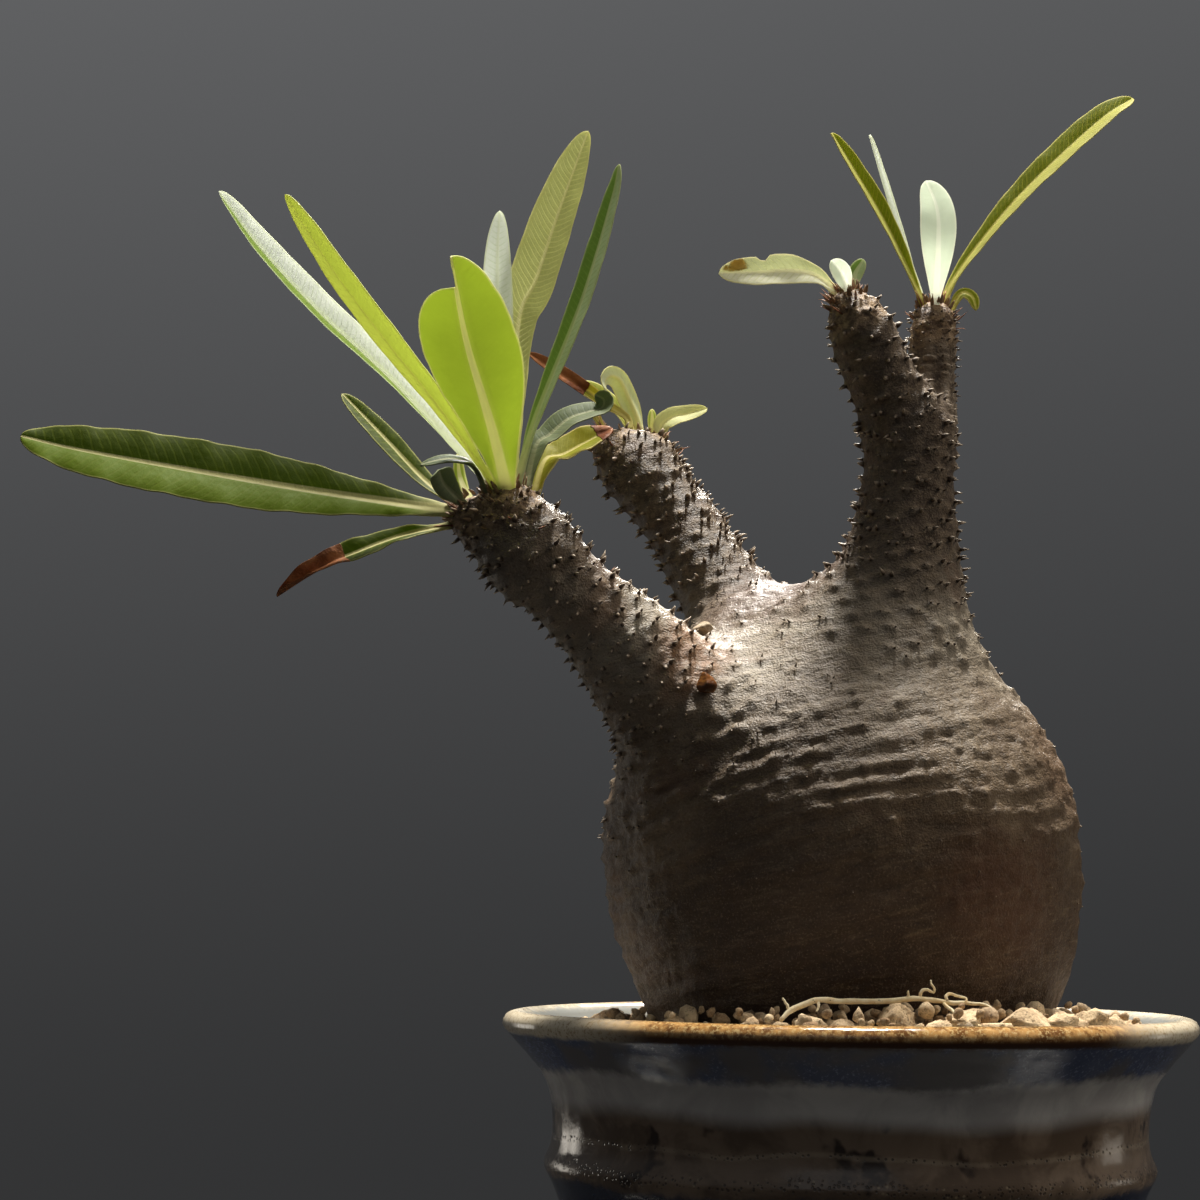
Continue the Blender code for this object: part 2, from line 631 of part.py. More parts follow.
def leaf_skin(path, half_width, widest, face, fold):
    """Points of a folded blade, six round each station, thicker along its midrib and stem."""
    along = tangents(path)
    normals = carried_normals(along, face)
    points = []
    for i, (centre, direction, normal) in enumerate(zip(path, along, normals)):
        t = i / (len(path) - 1)
        across = np.cross(direction, normal)
        width = leaf_width(t, half_width, widest)
        stem = max(0, 1 - t / 0.12)
        edge = LEAF_EDGE / 2 + stem * 0.12
        rib = (LEAF_RIB + stem * (LEAF_STEM - LEAF_RIB)) / 2
        bend = math.radians(fold) * (1 - stem)
        out = across * math.cos(bend) + normal * math.sin(bend)
        back = -across * math.cos(bend) + normal * math.sin(bend)
        points += [centre + width * back + edge * normal, centre + rib * normal,
                   centre + width * out + edge * normal, centre + width * out - edge * normal,
                   centre - rib * normal, centre + width * back - edge * normal]
    return points


def make_leaf(name, crown, root, points, half_width, face, fold):
    """One leaf, its stem lifted until it is a gap away from the bark."""
    green = make_material("leaf", (0.22, 0.36, 0.07), 0.5)
    lift = LEAF_SEAT
    for _ in range(4):
        path = leaf_path(crown, root, points, LEAF_STEP, lift)
        skin = leaf_skin(path, half_width, WIDEST_AT.get(name, LEAF_WIDEST), face, fold)
        lift += GAP - wood_distance(np.array(skin[:12])).min()
    faces = []
    for i in range(len(path) - 1):
        for k in range(6):
            a, b = i * 6 + k, i * 6 + (k + 1) % 6
            c, d = b + 6, a + 6
            if k in (3, 4):
                faces += [(a, b, d), (b, c, d)]
            else:
                faces += [(a, b, c), (a, c, d)]
    last = (len(path) - 1) * 6
    for base in (0, last):
        faces += [(base, base + 1, base + 4, base + 5), (base + 1, base + 2, base + 3, base + 4)]
    return add_mesh(name, skin, faces, green)


def soil_height(x, y):
    """Level of the soil: heaped at the front right, lower at the bowl's wall."""
    turn = math.atan2(y, x) - SOIL_HEAP_AT
    turn = (turn + math.pi) % (2 * math.pi) - math.pi
    heap = SOIL_HEAP * math.exp(-(turn / SOIL_HEAP_REACH) ** 2)
    away = math.hypot(x, y)
    fall = SOIL_FALL * max(0, (away - 44) / 12) ** 2
    ripple = 0.5 * math.sin(0.41 * x + 1.3) * math.cos(0.37 * y)
    return SOIL_LEVEL + heap - fall + ripple


def hole_ring(height, margin=HOLE_GAP):
    """Outline of the hole that the caudex stands in, at a height below its waist."""
    drop = BODY_CENTRE[2] - height
    share = math.sqrt(max(1 - (drop / (BODY_BELOW + margin)) ** 2, 0))
    middle = BODY_CENTRE[0] + BODY_LEAN * drop
    wide, deep = (BODY_WIDE + margin) * share, (BODY_DEEP + margin) * share
    return [(middle + wide * math.cos(math.tau * k / TURN_STEPS),
             BODY_CENTRE[1] + deep * math.sin(math.tau * k / TURN_STEPS), height)
            for k in range(TURN_STEPS)]


def hole_mouth():
    """Edge of the hole, each point as wide as the caudex is at the soil's level there."""
    mouth = []
    for k in range(TURN_STEPS):
        x, y, _ = hole_ring(SOIL_LEVEL)[k]
        mouth.append(hole_ring(soil_height(x, y))[k])
    return mouth


def soil_rings():
    """Rings of the soil body: up the bowl's wall, over the top and down the hole."""
    bottom = FLOOR + 2 * GAP + NET_THICK
    rings = []
    for height in (bottom, *SOIL_WALL_RINGS, SOIL_EDGE):
        rings.append(ring_points(inner_radius(height) - GAP, height, TURN_STEPS))
    outer = rings[-1]
    mouth = hole_mouth()
    for i in range(SOIL_RINGS + 1):
        share = (i + SOIL_SHOULDER) / (SOIL_RINGS + SOIL_SHOULDER)
        ring = []
        for (x0, y0, _), (x1, y1, _) in zip(outer, mouth):
            x, y = x0 + (x1 - x0) * share, y0 + (y1 - y0) * share
            ring.append((x, y, soil_height(x, y)))
        rings.append(ring)
    full = BODY_BELOW + HOLE_GAP
    start = math.asin((BODY_CENTRE[2] - SOIL_LEVEL + 2.5) / full)
    for i in range(HOLE_RINGS):
        turn = start + (math.pi / 2 - start) * i / HOLE_RINGS
        rings.append(hole_ring(BODY_CENTRE[2] - full * math.sin(turn)))
    pole = (BODY_CENTRE[0] + BODY_LEAN * full, BODY_CENTRE[1], BODY_CENTRE[2] - full)
    return bottom, pole, rings


def chip(centre, radius, draw, material):
    """One clay granule: a rough stone of eight faces."""
    turn = Matrix.Rotation(draw.uniform(0, math.tau), 3, "Z")
    tips = ((1, 0, 0), (0, 1, 0), (-1, 0, 0), (0, -1, 0), (0, 0, 0.8), (0, 0, -1))
    points = [Vector(centre) + turn @ (Vector(tip) * radius * draw.uniform(0.95, 1.25))
              for tip in tips]
    faces = [(k, (k + 1) % 4, pole) for k in range(4) for pole in (4, 5)]
    return add_mesh("grain", points, faces, material)


def clod(centre, radius, draw, material):
    """One large granule: a rough ball of twenty faces."""
    ball = add_ball("clod", (0, 0, 0), radius, 1, material)
    for vertex in ball.data.vertices:
        vertex.co *= draw.uniform(0.82, 1.12)
    squash = Matrix.Diagonal((1, draw.uniform(0.75, 1), draw.uniform(0.65, 0.85), 1))
    turn = Matrix.Rotation(draw.uniform(0, math.tau), 4, "Z")
    ball.data.transform(Matrix.Translation(Vector(centre) * MM) @ turn @ squash)
    ball.matrix_world = Matrix.Identity(4)
    return ball


def grain_fits(x, y, radius, level):
    """Whether a granule is clear of the bowl's wall and of the caudex."""
    if math.hypot(x, y) + 1.15 * radius > inner_radius(level) - 0.6:
        return False
    return body_distance(np.array([(x, y, level + radius)], float))[0] > 1.25 * radius + GAP


def make_soil():
    clay = make_material("clay", (0.36, 0.24, 0.15), 0.95)
    bottom, pole, rings = soil_rings()
    points = [(0, 0, bottom)]
    for ring in rings:
        points += ring
    points.append(pole)
    soil = add_mesh("soil", points, turned_faces(len(rings), TURN_STEPS), clay)
    draw = random.Random(7)
    placed = [(x, y, radius) for x, y, radius in CLODS]
    while len(placed) < GRAIN_COUNT + len(CLODS):
        away = draw.uniform(36, 56)
        turn = draw.uniform(0, math.tau)
        x, y = away * math.cos(turn), away * math.sin(turn)
        radius = GRAIN_SMALL + (GRAIN_LARGE - GRAIN_SMALL) * draw.random() ** 2
        crowded = any(math.hypot(x - u, y - v) < 0.62 * (radius + r) for u, v, r in placed)
        if not crowded and grain_fits(x, y, radius, soil_height(x, y)):
            placed.append((x, y, radius))
    grains = []
    for x, y, radius in placed:
        level = soil_height(x, y)
        make = clod if (x, y, radius) in CLODS else chip
        if grain_fits(x, y, radius, level):
            grains.append(make((x, y, level + 0.15 * radius), radius, draw, clay))
    fuse(soil, grains)
    return soil


def lowest_gap(obj, carrier):
    """Smallest drop from the points of one object to another below it."""
    depsgraph = bpy.context.evaluated_depsgraph_get()
    tree = BVHTree.FromObject(carrier, depsgraph)
    gaps = []
    for vertex in obj.data.vertices:
        hit = tree.ray_cast(vertex.co + Vector((0, 0, 0.05)), Vector((0, 0, -1)))
        if hit[0] is not None:
            gaps.append(hit[3] - 0.05)
    return min(gaps)


def make_dry_root(soil):
    """Dead root with side roots, let down until it rests on the soil."""
    straw = make_material("straw", (0.45, 0.33, 0.20), 0.85)
    path = spline(ROOT_MAIN, 12)
    taper = np.interp(np.linspace(0, 1, 12), (0, 0.1, 0.6, 1), (0.7, 1, 0.9, 0.55))
    root = tube("dry_root", path, taper * ROOT_THICK / 2, 6, straw)
    sides = []
    for points in ROOT_SIDES:
        path = spline(points, 5)
        taper = np.linspace(1, 0.65, 5)
        sides.append(tube("side", path, taper * ROOT_FINE / 2, 4, straw))
    fuse(root, sides)
    root.data.transform(Matrix.Translation((0, 0, GAP * MM - lowest_gap(root, soil))))
    return root


def seat_on_bark(name, place, radius, squash, material):
    """Flattened lump resting on the bark, level with the surface under it."""
    point = np.array(place, float)
    for _ in range(4):
        point -= wood_normals(point[None])[0] * wood_distance(point[None])[0]
    normal = wood_normals(point[None])[0]
    lump = add_ball(name, (0, 0, 0), radius, 2, material)
    turn = Vector((0, 0, 1)).rotation_difference(Vector(normal)).to_matrix().to_4x4()
    flat = Matrix.Diagonal((1, 1, squash, 1))
    centre = point + normal * (radius * squash + GAP)
    lump.data.transform(Matrix.Translation(Vector(centre) * MM) @ turn @ flat)
    lump.matrix_world = Matrix.Identity(4)
    return lump


def make_caudex(blades):
    """Wood, limbs and thorns as one grown piece."""
    draw = random.Random(11)
    caudex = make_wood_skin()
    thorns = body_nubs(draw)
    for limb, forks, _, skip in LIMBS:
        if skip is not None:
            thorns += limb_spines(limb, skip, blades, draw)
        for fork in forks:
            thorns += limb_spines(fork, FORK_THORNS, blades, draw)
    fuse(caudex, thorns)
    return caudex


def main():
    clear_scene()
    make_pot()
    make_drain_net()
    soil = make_soil()
    make_dry_root(soil)
    blades = []
    for name, (crown, root, points, half_width, face, fold) in LEAVES.items():
        make_leaf(name, crown, root, points, half_width, face, fold)
        path = leaf_path(crown, root, points, 1.5)
        widest = WIDEST_AT.get(name, LEAF_WIDEST)
        widths = [leaf_width(t, half_width, widest) for t in np.linspace(0, 1, len(path))]
        blades.append((path, np.array(widths)))
    make_caudex(blades)
    amber = make_material("sap", (0.30, 0.11, 0.03), 0.3)
    seat_on_bark("sap_bead", BEAD_AT, BEAD_RADIUS, 0.7, amber)
    clay = make_material("clay", (0.36, 0.24, 0.15), 0.95)
    seat_on_bark("crumb", CRUMB_AT, CRUMB_RADIUS, 0.6, clay)


main()
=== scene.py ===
"""Potted pachypodium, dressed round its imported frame.

A caudex plant with a swollen trunk, thorny limbs and six tufts of leaves, planted in baked
clay granules in a glazed bowl. Sizes are in millimetres and become metres in each mesh.
"""
import math
import random

import bmesh
import bpy
import numpy as np
from mathutils import Matrix, Vector, noise
from mathutils.kdtree import KDTree


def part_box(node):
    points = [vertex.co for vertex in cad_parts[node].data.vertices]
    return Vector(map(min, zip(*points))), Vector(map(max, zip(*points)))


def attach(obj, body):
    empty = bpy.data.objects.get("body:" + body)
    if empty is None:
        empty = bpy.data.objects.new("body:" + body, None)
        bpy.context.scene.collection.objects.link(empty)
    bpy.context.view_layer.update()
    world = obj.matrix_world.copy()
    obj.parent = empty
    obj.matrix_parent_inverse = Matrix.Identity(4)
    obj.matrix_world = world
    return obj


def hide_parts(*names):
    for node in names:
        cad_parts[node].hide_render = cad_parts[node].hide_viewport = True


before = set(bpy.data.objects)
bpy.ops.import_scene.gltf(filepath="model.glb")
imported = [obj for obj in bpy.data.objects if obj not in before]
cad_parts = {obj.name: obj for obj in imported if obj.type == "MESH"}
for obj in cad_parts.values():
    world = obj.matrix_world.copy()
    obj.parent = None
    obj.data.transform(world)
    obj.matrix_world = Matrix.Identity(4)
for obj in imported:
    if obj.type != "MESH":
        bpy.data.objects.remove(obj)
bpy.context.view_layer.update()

# Camera
# It stands where the photographer stood, half a metre in front of the bowl and a little above
# its rim, looking up by six degrees with a slight roll.
MM = 0.001
EYE = (-46.3, -530.0, 81.0)
EYE_PITCH = math.radians(6.12)
EYE_ROLL = math.radians(0.6)
LENS = 85.86

forward = Vector((0, math.cos(EYE_PITCH), math.sin(EYE_PITCH)))
level = Vector((1, 0, 0))
upright = level.cross(forward)
eye_right = level * math.cos(EYE_ROLL) + upright * math.sin(EYE_ROLL)
eye_up = upright * math.cos(EYE_ROLL) - level * math.sin(EYE_ROLL)
camera = bpy.data.objects.new("camera", bpy.data.cameras.new("camera"))
bpy.context.scene.collection.objects.link(camera)
camera.data.lens = LENS
camera.data.clip_start = 0.01
camera.matrix_world = (Matrix.Translation(Vector(EYE) * MM)
                       @ Matrix((eye_right, eye_up, -forward)).transposed().to_4x4())
bpy.context.scene.camera = camera

# Bowl
# A bonsai bowl, thrown on the wheel: rolled lip, hollow neck, sharp ridge and tapered foot. It
# is stoneware, dipped in navy and brown glaze and fired, white inside and bare on its base.
POT_HEIGHT = 62.2
RIM_RADIUS = 63.3
NECK_RADIUS = 54.2
RIDGE_RADIUS = 55.4
FOOT_RADIUS = 41.0
POT_FLOOR = 6.0
POT_STEPS = 176
POT_RING = 0.9
DRAIN_RADIUS = 4.5
DRAIN_STEPS = 40
DRAIN_CIRCLE = 16.0
DRAIN_TURN = math.radians(93)
# radius and height, from the foot's edge up to the top of the lip and down to the floor's edge
POT_OUTSIDE = ((FOOT_RADIUS - 1.2, 0), (FOOT_RADIUS, 1.2), (47.8, 16), (53.8, 31),
               (RIDGE_RADIUS, 35.2), (RIDGE_RADIUS - 1.0, 37.6), (NECK_RADIUS, 44.5), (55.6, 50.2),
               (58.4, 54), (61.4, 57.4), (RIM_RADIUS, 60), (RIM_RADIUS - 0.8, 61.7),
               (RIM_RADIUS - 2.3, POT_HEIGHT))
POT_INSIDE = ((RIM_RADIUS - 4.2, 61.2), (RIM_RADIUS - 5.6, 59), (54.2, 54.6), (50.6, 48), (50, 38),
              (48.4, 27), (40, 9), (36.6, POT_FLOOR))


class Nodes:
    """The nodes of one tree, written one at a time."""

    def __init__(self, tree):
        self.tree = tree

    def node(self, kind, inputs=(), **settings):
        made = self.tree.nodes.new(kind)
        for key, value in settings.items():
            setattr(made, key, value)
        for place, value in dict(inputs).items():
            self.feed(made.inputs[place], value)
        return made

    def feed(self, socket, value):
        if isinstance(value, bpy.types.NodeSocket):
            self.tree.links.new(value, socket)
        else:
            socket.default_value = value

    def maths(self, operation, a, b=0.0):
        return self.node("ShaderNodeMath", {0: a, 1: b}, operation=operation).outputs[0]

    def times(self, a, b, plus=0.0):
        """One value times another, plus a third."""
        return self.node("ShaderNodeMath", {0: a, 1: b, 2: plus},
                         operation="MULTIPLY_ADD").outputs[0]

    def apart(self, vector):
        return self.node("ShaderNodeSeparateXYZ", {0: vector}).outputs


class Finish(Nodes):
    """A procedural material. Plain colours are as a screen shows them, 0 to 255."""

    def __init__(self, name, roughness):
        self.material = bpy.data.materials.new(name)
        self.material.use_nodes = True
        super().__init__(self.material.node_tree)
        self.shader = self.tree.nodes["Principled BSDF"]
        self.gloss(roughness)
        self.normal = None

    def blend(self, share, a, b):
        return self.node("ShaderNodeMix", {0: share, 6: paint(a), 7: paint(b)}, data_type="RGBA",
                         clamp_factor=True).outputs[2]

    def grade(self, value, low, high, to_low=0.0, to_high=1.0):
        """Smooth step of a value from low to high."""
        return self.node("ShaderNodeMapRange", {0: value, 1: low, 2: high, 3: to_low, 4: to_high},
                         interpolation_type="SMOOTHSTEP").outputs[0]

    def fade(self, value, low, high, a, b):
        """Colour that turns from a into b as a value goes from low to high."""
        return self.blend(self.grade(value, low, high), a, b)

    def coats(self, skin, *layers):
        """Colours over the skin, each a value, where it starts and is full, strength, colour."""
        for value, start, full, share, shade in layers:
            skin = self.blend(self.times(self.grade(value, start, full), share), skin, shade)
        return skin

    def sway(self, value, mottle, reach):
        """A value pushed up and down by a mottle."""
        return self.times(self.times(mottle, 1, -0.5), reach, value)

    def place(self):
        return self.node("ShaderNodeTexCoord").outputs["Object"]

    def mottle(self, where, scale, detail=3.0, rough=0.55, bend=0.0):
        return self.node("ShaderNodeTexNoise", {"Vector": where, "Scale": scale, "Detail": detail,
                                                "Roughness": rough, "Distortion": bend}).outputs[0]

    def cells(self, where, scale, feature="F1"):
        return self.node("ShaderNodeTexVoronoi", {"Vector": where, "Scale": scale},
                         feature=feature).outputs["Distance"]

    def named(self, attribute, output="Fac"):
        return self.node("ShaderNodeAttribute", attribute_name=attribute).outputs[output]

    def colour(self, value):
        self.feed(self.shader.inputs["Base Color"], value)

    def gloss(self, value):
        self.feed(self.shader.inputs["Roughness"], value)

    def relief(self, *layers):
        """Adds bumps, each a height and its depth in millimetres."""
        for height, depth in layers:
            inputs = {"Height": height, "Distance": depth * MM, "Strength": 1.0}
            if self.normal is not None:
                inputs["Normal"] = self.normal
            self.normal = self.node("ShaderNodeBump", inputs).outputs[0]
        self.feed(self.shader.inputs["Normal"], self.normal)


def paint(shade):
    """A plain colour as a shader wants it. A node's output is passed on."""
    if not isinstance(shade, tuple):
        return shade
    parts = [value / 255 for value in shade]
    return (*[p / 12.92 if p <= 0.04045 else ((p + 0.055) / 1.055) ** 2.4 for p in parts], 1.0)


def add_mesh(name, points, faces, material):
    """Object from points in millimetres, with its faces turned outwards."""
    mesh = bpy.data.meshes.new(name)
    mesh.from_pydata((np.array(points, float) * MM).tolist(), [], faces)
    shape = bmesh.new()
    shape.from_mesh(mesh)
    bmesh.ops.recalc_face_normals(shape, faces=shape.faces)
    shape.to_mesh(mesh)
    shape.free()
    mesh.shade_smooth()
    if material is not None:
        mesh.materials.append(material)
    piece = bpy.data.objects.new(name, mesh)
    bpy.context.collection.objects.link(piece)
    return piece


def settle_modifiers(piece):
    """Replaces the mesh by its evaluated one and clears the modifiers."""
    depsgraph = bpy.context.evaluated_depsgraph_get()
    mesh = bpy.data.meshes.new_from_object(piece.evaluated_get(depsgraph))
    piece.modifiers.clear()
    piece.data = mesh


def note(piece, name, values):
    """Stores one number or one vector for each of the mesh's points."""
    values = np.array(values, np.float32)
    kind, key = ("FLOAT", "value") if values.ndim == 1 else ("FLOAT_VECTOR", "vector")
    layer = piece.data.attributes.new(name, kind, "POINT")
    layer.data.foreach_set(key, values.ravel())


def spline(points, count):
    """Catmull-Rom curve through the points, sampled at equal lengths."""
    points = [np.array(p, float) for p in points]
    knots = [2 * points[0] - points[1]] + points + [2 * points[-1] - points[-2]]
    dense = []
    for i in range(1, len(knots) - 2):
        a, b, c, d = knots[i - 1:i + 3]
        for t in np.linspace(0, 1, 16, endpoint=False):
            dense.append(0.5 * (2 * b + (c - a) * t + (2 * a - 5 * b + 4 * c - d) * t ** 2
                                + (3 * b - a - 3 * c + d) * t ** 3))
    dense = np.array(dense + [points[-1]])
    steps = np.linalg.norm(np.diff(dense[:, :3], axis=0), axis=1)
    run = np.concatenate([[0], np.cumsum(steps)])
    at = np.linspace(0, run[-1], count)
    return np.stack([np.interp(at, run, dense[:, k]) for k in range(dense.shape[1])], axis=1)


def turned_faces(rings, steps):
    """Faces of a turned skin whose first and last rings are single points."""
    faces = []
    last = 1 + (rings - 1) * steps
    for k in range(steps):
        nxt = (k + 1) % steps
        faces.append((0, 1 + k, 1 + nxt))
        for i in range(rings - 1):
            base = 1 + i * steps
            faces.append((base + k, base + steps + k, base + steps + nxt, base + nxt))
        faces.append((last + k, 1 + rings * steps, last + nxt))
    return faces


def flat_ring(x, y, z, wide, deep, steps):
    """Points round a level ellipse."""
    return [(x + wide * math.cos(math.tau * k / steps), y + deep * math.sin(math.tau * k / steps),
             z) for k in range(steps)]


def inner_radius(height):
    """Radius of the bowl's inside at a height."""
    radii, heights = zip(*POT_INSIDE[::-1])
    return float(np.interp(height, heights, radii))


def smooth_profile(points):
    """Profile with its curves rounded, in rings of even spacing."""
    points = np.array(points, float)
    steps = np.linalg.norm(np.diff(points, axis=0), axis=1)
    run = np.concatenate([[0], np.cumsum(steps)])
    slopes = np.gradient(points, run, axis=0)
    at = np.linspace(0, run[-1], round(run[-1] / POT_RING))
    i = np.clip(np.searchsorted(run, at, side="right") - 1, 0, len(steps) - 1)
    wide = steps[i, None]
    t = (at[:, None] - run[i, None]) / wide
    start = (2 * t ** 3 - 3 * t ** 2 + 1) * points[i] + (t ** 3 - 2 * t ** 2 + t) * wide * slopes[i]
    end = (3 * t ** 2 - 2 * t ** 3) * points[i + 1] + (t ** 3 - t ** 2) * wide * slopes[i + 1]
    return (start + end).tolist()


def glaze_finish():
    """Navy and brown glaze in bands, cream inside and on the lip's sides, bare clay below. The navy band
    and taupe neck are partly a painted sheen, the cream on the lip's sides is partly a painted
    reflection, and the ridge has painted glints.
    """
    glaze = Finish("glaze", 0.16)
    where = glaze.place()
    x, _, z = glaze.apart(where)
    height = glaze.times(z, 1 / MM)
    slow = glaze.times(glaze.mottle(where, 26, 2.0), 1, -0.5)
    ragged = glaze.times(glaze.mottle(where, 420, 4.0, 0.65), 1, -0.5)
    fine = glaze.mottle(where, 1500, 3.0, 0.7)
    broad = glaze.mottle(where, 75, 4.0, 0.6, 0.6)
    band = glaze.times(slow, 6.0, height)
    edge = glaze.times(ragged, 2.4, band)
    belly = glaze.fade(broad, 0.42, 0.62, (86, 70, 55), (116, 98, 80))
    belly = glaze.fade(glaze.mottle(where, 120, 3.0, 0.6), 0.60, 0.70, belly, (46, 34, 26))
    # the taupe neck and the navy band are painted lighter than their glaze alone: partly glaze colour,
    # partly a painted sheen
    taupe = glaze.fade(broad, 0.40, 0.66, (168, 162, 156), (194, 188, 180))
    navy = glaze.fade(fine, 0.52, 0.74, (74, 82, 108), (138, 148, 172))
    navy = glaze.fade(glaze.mottle(where, 60), 0.48, 0.62, navy, (98, 93, 92))
    foot = glaze.fade(fine, 0.52, 0.74, (12, 20, 42), (46, 58, 84))
    brown = glaze.fade(ragged, -0.12, 0.12, (182, 138, 82), (110, 72, 36))
    brown = glaze.coats(brown, (fine, 0.50, 0.62, 0.7, (206, 176, 122)))
    brown = glaze.fade(height, 60.6, 59.4, brown, (66, 38, 16))
    cream = glaze.fade(fine, 0.50, 0.66, (212, 198, 170), (166, 142, 110))
    # the lip turns cream on its left and right sides: partly the cream glaze of the inside, partly a
    # painted reflection
    sides = glaze.maths("ABSOLUTE", glaze.times(slow, 0.012, x))
    lip = glaze.fade(sides, 0.036, 0.052, brown, cream)
    skin = glaze.fade(edge, 32.4, 34.0, foot, belly)
    skin = glaze.fade(band, 44.0, 47.6, skin, taupe)
    skin = glaze.fade(edge, 51.2, 53.2, skin, navy)
    skin = glaze.fade(glaze.times(ragged, 1.2, height), 58.0, 58.9, skin, lip)
    # dark pits along the ridge and in a thin line round the belly, and painted glints, pale specks
    # standing for highlights, along the ridge
    ridge = glaze.grade(glaze.maths("ABSOLUTE", glaze.times(edge, 1, -35.6)), 1.5, 0.5)
    line = glaze.grade(glaze.maths("ABSOLUTE", glaze.times(band, 1, -40.2)), 0.7, 0.1)
    faint = glaze.times(line, glaze.grade(broad, 0.35, 0.6, 0.1, 0.45))
    skin = glaze.blend(faint, skin, (150, 134, 112))
    pitted = glaze.times(glaze.maths("MAXIMUM", ridge, line),
                         glaze.grade(glaze.cells(where, 1300), 0.42, 0.2))
    skin = glaze.blend(glaze.times(pitted, 0.7), skin, (30, 23, 18))
    # pale specks on the ridge: a painted highlight
    painted_glint = glaze.times(ridge, 0.5)
    skin = glaze.coats(skin, (glaze.cells(where, 760), 0.26, 0.12, painted_glint, (150, 134, 106)))
    inner = glaze.fade(fine, 0.60, 0.8, (146, 147, 142), (122, 116, 102))
    inside = glaze.times(ragged, 0.3, glaze.named("inner"))
    skin = glaze.fade(inside, 0.40, 0.62, skin, inner)
    bare = glaze.grade(edge, 1.6, 0.8)
    glaze.colour(glaze.blend(bare, skin, glaze.blend(fine, (128, 98, 74), (96, 70, 52))))
    glaze.gloss(glaze.maths("MAXIMUM", glaze.grade(broad, 0.3, 0.7, 0.10, 0.24),
                            glaze.grade(bare, 0, 1, 0, 0.85)))
    glaze.relief((glaze.mottle(where, 90, 2.0), 0.5), (fine, 0.03),
                 (glaze.times(pitted, -1, 1), 0.06))
    return glaze.material


def make_bowl():
    """The turned bowl, a little uneven by hand, with three holes drilled in its floor."""
    outside, inside = smooth_profile(POT_OUTSIDE), smooth_profile(POT_INSIDE)
    profile = outside + inside
    depth = np.concatenate([np.zeros(len(outside)), np.ones(len(inside))])
    depth = np.convolve(np.pad(depth, 3, mode="edge"), np.ones(7) / 7, mode="valid")
    points, inner = [(0, 0, 0)], [0]
    for (radius, height), share in zip(profile, depth):
        for k in range(POT_STEPS):
            turn = math.tau * k / POT_STEPS
            hand = 0.22 * noise.noise((2.2 * math.cos(turn), 2.2 * math.sin(turn), height / 14))
            sway = 0.2 * noise.noise((1.4 * math.cos(turn), 1.4 * math.sin(turn), 5))
            points.append(((radius + hand) * math.cos(turn), (radius + hand) * math.sin(turn),
                           height + sway * min(height / POT_HEIGHT, 1) ** 2))
            inner.append(share)
    points.append((0, 0, POT_FLOOR))
    inner.append(1)
    bowl = add_mesh("bowl", points, turned_faces(len(profile), POT_STEPS), glaze_finish())
    note(bowl, "inner", inner)
    drills = []
    for k in range(3):
        turn = math.tau * k / 3 + DRAIN_TURN
        x, y = DRAIN_CIRCLE * math.cos(turn), DRAIN_CIRCLE * math.sin(turn)
        low, high = -POT_FLOOR, 2 * POT_FLOOR
        skin = [(x, y, low), *flat_ring(x, y, low, DRAIN_RADIUS, DRAIN_RADIUS, DRAIN_STEPS),
                *flat_ring(x, y, high, DRAIN_RADIUS, DRAIN_RADIUS, DRAIN_STEPS), (x, y, high)]
        drills.append(add_mesh("drill", skin, turned_faces(2, DRAIN_STEPS), None))
        cut = bowl.modifiers.new("drain", "BOOLEAN")
        cut.operation = "DIFFERENCE"
        cut.object = drills[-1]
    settle_modifiers(bowl)
    for drill in drills:
        bpy.data.objects.remove(drill)
    return bowl


bowl = make_bowl()
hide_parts("pot")
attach(bowl, "root")

# Drain net
# A square of black plastic net over the three drain holes, so the granules stay in. It lies
# loose on the bowl's floor under the soil.
NET_SIDE = 46.0
NET_LEVEL = 6.8
NET_HOLES = 18
NET_THREAD = 0.9

plastic = Finish("net", 0.45)
plastic.colour(plastic.blend(plastic.mottle(plastic.place(), 900), (22, 22, 23), (44, 43, 41)))
spots = np.linspace(-NET_SIDE / 2, NET_SIDE / 2, NET_HOLES + 1)
corners = [(a, b, NET_LEVEL) for a in spots for b in spots]
meshes = [(i * (NET_HOLES + 1) + j, (i + 1) * (NET_HOLES + 1) + j,
           (i + 1) * (NET_HOLES + 1) + j + 1, i * (NET_HOLES + 1) + j + 1)
          for i in range(NET_HOLES) for j in range(NET_HOLES)]
net = add_mesh("drain_net_weave", corners, meshes, plastic.material)
threads = net.modifiers.new("threads", "WIREFRAME")
threads.thickness = NET_THREAD * MM
threads.use_even_offset = False
settle_modifiers(net)
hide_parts("drain_net")
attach(net, "root")

# Trunk
# The caudex: one water-storing body that tapers into the soil, three limbs and six short forks.
# It grew as one piece. Its bark is thin, wrinkled across the front and worn smooth on top.
BODY_CENTRE = (-1.5, -1.0, 91.0)
BODY_WIDE = 43.8
BODY_DEEP = 40.5
BODY_ABOVE = 43.5
BODY_BELOW = 54.5
BODY_LEAN = 0.056
FORK_BLEND = 4.0
LIMB_LEFT = ((-18, -10, 98, 16.0), (-27.4, -14, 111.4, 13.3), (-39.5, -17.5, 125.4, 10.2),
             (-44.6, -19, 130.5, 8.6), (-51, -22, 136.5, 7.7), (-58.8, -25, 143.6, 7.7))
FORK_LOW = ((-58.8, -25, 143.6, 7.3), (-65, -24.4, 147, 5.4), (-69.3, -24, 149.6, 4.4))
FORK_FAN = ((-58.8, -25, 143.6, 7.3), (-61.2, -26.6, 148.4, 5.8), (-62.6, -27.5, 151.3, 4.9))
